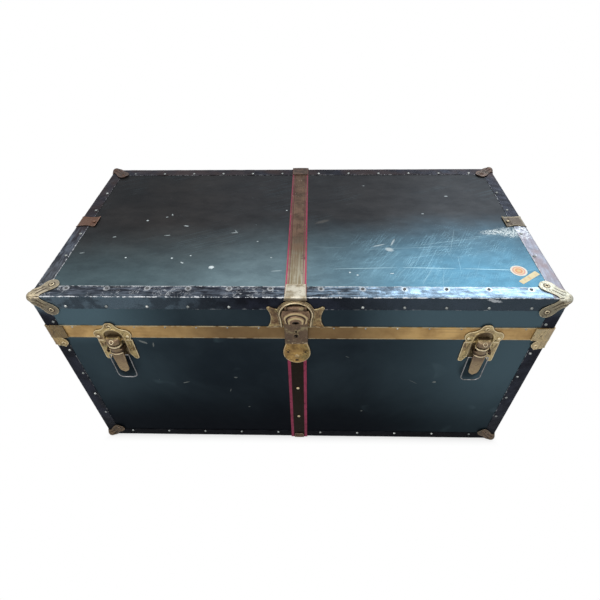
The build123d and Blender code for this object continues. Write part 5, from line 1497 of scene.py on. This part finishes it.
# Painted shade in its recesses and holes, where the rub value falls below nought.
tone = tone.coat((0.022, 0.014, 0.010), (hasp_wear_and_shade + fine_grit * 0.2).ease(-0.15, -0.55) * 0.9)
glints = hasp_brass.cloud(330.0, 5.0, 0.75).ease(0.60, 0.68) * plain_part
tone = tone.coat((0.40, 0.29, 0.20), glints * 0.7)
lower_edge = hasp_brass.z.ease(0.2945, 0.2900)
lower_edge = lower_edge * hasp_brass.cloud(260.0, 4.0, 0.7).ease(0.50, 0.58)
tone = tone.coat((0.62, 0.50, 0.33), lower_edge * 0.8)
hasp_brass.put(
    Base_Color=tone,
    Roughness=0.34 + tarnish * 0.2,
    Normal=hasp_brass.relief(fine_grit * 1.1 + tarnish * 1.6, 0.0008),
)
dome_z, dot_z, bore_z = 0.3352, 0.3163, 0.3070
flap_half = [(16.2, 288.4), (17.3, 289.6), (17.3, 336), (18.3, 339.6),
             ((18.6, 340), (20.8, 348.5), (18.4, 358.2))]
flap_edge = [(0, 0, -0.8), (0, 2.8, -0.2), (0.2, 3.35, 0.3), (0.6, 3.6, 0.6), (1.4, 3.6, 0.3),
             (2.4, 3.55, 0.0)]
flap_outline = traced(mirrored(flap_half), 1.0, 1)
flap = plate("flap", flap_outline, on_front(-0.1895), flap_edge, (0, 326), None, 10)
dome = turned_piece("dome", (0, -0.1930, dome_z), front, [
    (0, -2, -1), (17.0, -2, -1), (17.0, -0.2, -0.9), (16.8, 0.8, -0.2), (16.3, 1.7, 0.5),
    (15.6, 2.2, 1.0), (14.6, 2.3, 1.0), (13.7, 2.1, 0.3), (13.1, 1.5, -0.9),
    (12.6, 1.5, -1.1), (12.0, 2.3, -0.3), (11.2, 3.0, 0.6), (10.1, 3.4, 1.0), (8.9, 3.5, 0.9),
    (8.0, 3.4, 0.3), (7.0, 3.1, -0.2), (6.0, 2.9, -0.2), (5.3, 2.8, -0.5), (4.9, 2.4, -0.9),
    (0, 2.3, -0.9)], 72)
for vertex in dome.data.vertices:
    x, z = vertex.co.x, vertex.co.z - dome_z
    vertex.co.z = min(0.3582, vertex.co.z + 0.5 * max(0.0, math.hypot(x, z) - 0.005))
    vertex.co.x *= 1 + 0.16 * climb(z, 0.006)
    below = climb(dome_z - vertex.co.z, 0.004)
    vertex.co.y += below * max(0.0, -0.1922 - vertex.co.y)


def cut(piece, cutter):
    """Cut a hole with a closed form."""
    take = piece.modifiers.new("cut", "BOOLEAN")
    take.operation = "DIFFERENCE"
    take.object = cutter
    take.solver = "EXACT"
    bpy.context.view_layer.objects.active = piece
    piece.select_set(True)
    bpy.ops.object.modifier_apply(modifier="cut")
    piece.select_set(False)
    bpy.data.objects.remove(cutter)


def rod(name, outline_points, y0, y1):
    """A straight bar from front to back with a given outline in x and z."""
    rings = [[Vector((p.x, y, p.y)) for p in outline_points] for y in (y0, y1)]
    return skin(name, capped(rings), [-1] * 4, 30.0)


def oval(x, z, half_x, half_z, count=32, lens=1.0):
    """An oval round a point. A lens above 1 points its two ends."""
    points = []
    for k in range(count):
        turn = k / count * 2 * math.pi
        up = math.copysign(abs(math.sin(turn)) ** lens, math.sin(turn))
        points.append(Vector((x + half_x * math.cos(turn), z + half_z * up)))
    return points


ahead, behind = -0.2050, -0.1880
cut(flap, rod("bore_cut", oval(0, bore_z, 0.00506, 0.00506, 40), ahead, behind))
cut(flap, rod("dot_cut", oval(0, dot_z, 0.0014, 0.0014, 20), ahead, -0.1912))
for one in (flap, dome):
    cut(one, rod("thumb_cut", oval(0, dome_z, 0.0042, 0.0030, 32, 1.4), ahead, behind))


def darken(piece, within):
    """Paint shade on the points inside a hole, at the darkest rub value."""
    for point, value in zip(piece.data.vertices, piece.data.attributes["worn"].data):
        if within(point.co.x, point.co.z):
            value.value = -1.4


def in_holes(x, z):
    """Inside the thumb hole or the small round one."""
    thumb = math.hypot(x / 0.0044, (z - dome_z) / 0.0032)
    return min(thumb, math.hypot(x, z - dot_z) / 0.0015) < 1.03


hasp = joined("hasp_plate", [flap, dome])
darken(hasp, in_holes)
knuckle = turned_piece("knuckle", (0, -0.1917, 0.3635), (1, 0, 0), [
    (0, -12.3, -1), (1.9, -12.3, -0.6), (2.4, -11.8, -0.1), (3.4, -8.5, 0.1),
    (4.1, -4.5, 0.3), (4.3, 0, 0.5), (4.1, 4.5, 0.3), (3.4, 8.5, 0.1), (2.4, 11.8, -0.1),
    (1.9, 12.3, -0.6), (0, 12.3, -1)], 28)
neck_outline = traced([(-12, 355.5), (12, 355.5), (12, 363.3), (-12, 363.3)], 1.0, 0)
neck_edge = [(0, 0, -0.8), (0, 2.2, -0.6), (0.4, 2.7, -0.4)]
neck = plate("neck", neck_outline, on_front(-0.1899), neck_edge, (0, 359), None, 4)
hasp_flap = joined("hasp_flap", [hasp, knuckle, neck])
fit(hasp_flap, hasp_brass, "hasp", "aged_brass", "lock_hasp")
plug = turned_piece("key_barrel", (0, -0.1932, bore_z), front, [
    (0, -3.6, -1), (5.0, -3.6, -1), (5.0, -0.3, -0.6), (4.8, 0.15, 0.8), (4.3, 0.3, 0.6),
    (3.6, 0.15, -0.2), (0, 0.15, -0.1)], 40)
slot_line = traced([
    (-1.2, 303.4), (1.2, 303.4), (1.2, 306.6), ((1.2, 306.6), (0, 310.4), (-1.2, 306.6))], 0.4, 0)
cut(plug, rod("key_slot", slot_line, -0.2000, -0.1912))
darken(plug, lambda x, z: abs(x) < 0.0022 and 0.3030 < z < 0.3108)
fit(plug, hasp_brass, "key_plug", "aged_brass", "lock_plug")

# ---------------------------------------------------------------- lock keeper
# The lower plate on the case is rounded at the foot and laps the top of the strap. It
# has two rivets, a small bump and one dark hole.


def keeper_field(x, z):
    """A crowned field with a boss in its middle and a sunk hole near its foot, painted dark as
    shade.
    """
    bump = near(math.hypot(x, z - 256.5), 5.6)
    hole = near(math.hypot(x, (z - 244.3) * 1.3), 3.2)
    height = 1.6 * bump ** 0.6 - 1.3 * min(1.0, hole * 2)
    return height, 0.50 * min(1.0, bump * 2.2) - min(1.0, hole * 3) * 2


def keeper_place(u, v, h):
    """The plate lies on the case above, and over the top of the strap below."""
    behind = -0.1862 if v > 0.2495 else -0.1878
    return Vector((u, behind if h <= 0 else -0.1862 - h, v))


keeper_half = [((0, 237), (15.2, 244.9), (21.5, 264)),
               ((21.5, 264), (20.3, 272), (17.4, 281.5)), (17, 284), (17, 291.9)]
keeper_edge = [(0, 0, -0.8), (0, 1.6, -0.1), (0.15, 2.1, 0.3), (0.5, 2.55, 0.6), (1.1, 2.75, 0.65),
               (1.9, 2.6, 0.3), (2.8, 2.45, 0.05)]
keeper_outline = traced(mirrored(keeper_half), 0.9, 9)
keeper = plate(
    "keeper", keeper_outline, keeper_place, keeper_edge, (0, 252), keeper_field, 26
)
fit(keeper, brass, "case", "aged_brass", "lock_keeper")

# ---------------------------------------------------------------- sticker and tape
# A round paper sticker with worn cream and orange rings, and a strip of cream tape, are
# stuck on the lid near its front right corner. Both are plain.
paper_mark = Finish("ring_sticker", Roughness=0.55, Specular_IOR_Level=0.3)
from_heart = paper_mark.turned((0.3276, -0.1264, 0), (0, 0, 0), (0.012, 0.012, 1e3))
far = paper_mark.node("VectorMath", {"operation": "LENGTH"}, {0: from_heart}, "Value")
torn = paper_mark.cloud(240.0, 5.0, 0.7)
ring_tone = paper_mark.blend((0.80, 0.60, 0.30), (0.78, 0.34, 0.20), far.ease(0.22, 0.30))
ring_tone = ring_tone.coat((0.86, 0.68, 0.42), far.ease(0.42, 0.48))
ring_tone = ring_tone.coat((0.78, 0.36, 0.30), far.ease(0.60, 0.66))
ring_tone = ring_tone.coat((0.85, 0.83, 0.73), far.ease(0.74, 0.80))
ring_tone = ring_tone.coat((0.60, 0.58, 0.48), torn.ease(0.58, 0.70) * 0.7)
paper_mark.put(Base_Color=ring_tone, Normal=paper_mark.relief(torn, 0.0002))
sticker = turned_piece("round_sticker", (0.3276, -0.1264, 0.3790), above, [
    (0, -0.05, 0), (11.6, -0.05, 0), (12.0, 0.12, 0), (11.8, 0.24, 0), (11.0, 0.26, 0),
    (6, 0.26, 0), (0, 0.27, 0)], 56)
fit(sticker, paper_mark, "lid", "lining_paper")
tape_mark = Finish("cream_tape", Roughness=0.5, Specular_IOR_Level=0.3)
tape_wear = tape_mark.cloud(150.0, 5.0, 0.65)
tape_tone = tape_mark.blend((0.82, 0.72, 0.44), (0.74, 0.52, 0.29), tape_wear.ease(0.44, 0.66))
tape_mark.put(Base_Color=tape_tone, Normal=tape_mark.relief(tape_wear, 0.0002))
tape_outline = [(319.6, -152.0), (324.4, -158.6), (355.6, -136.6), (351.0, -128.8)]
tape = plate(
    "tape_strip", traced(tape_outline, 1.2, 1),
    lambda u, v, h: Vector((u, v + middle_y, 0.3789 + h)),
    [(0, 0, 0), (0, 0.2, 0), (0.3, 0.28, 0), (1.0, 0.28, 0)], (337.7, -144.0), None, 4
)
fit(tape, tape_mark, "lid", "lining_paper")
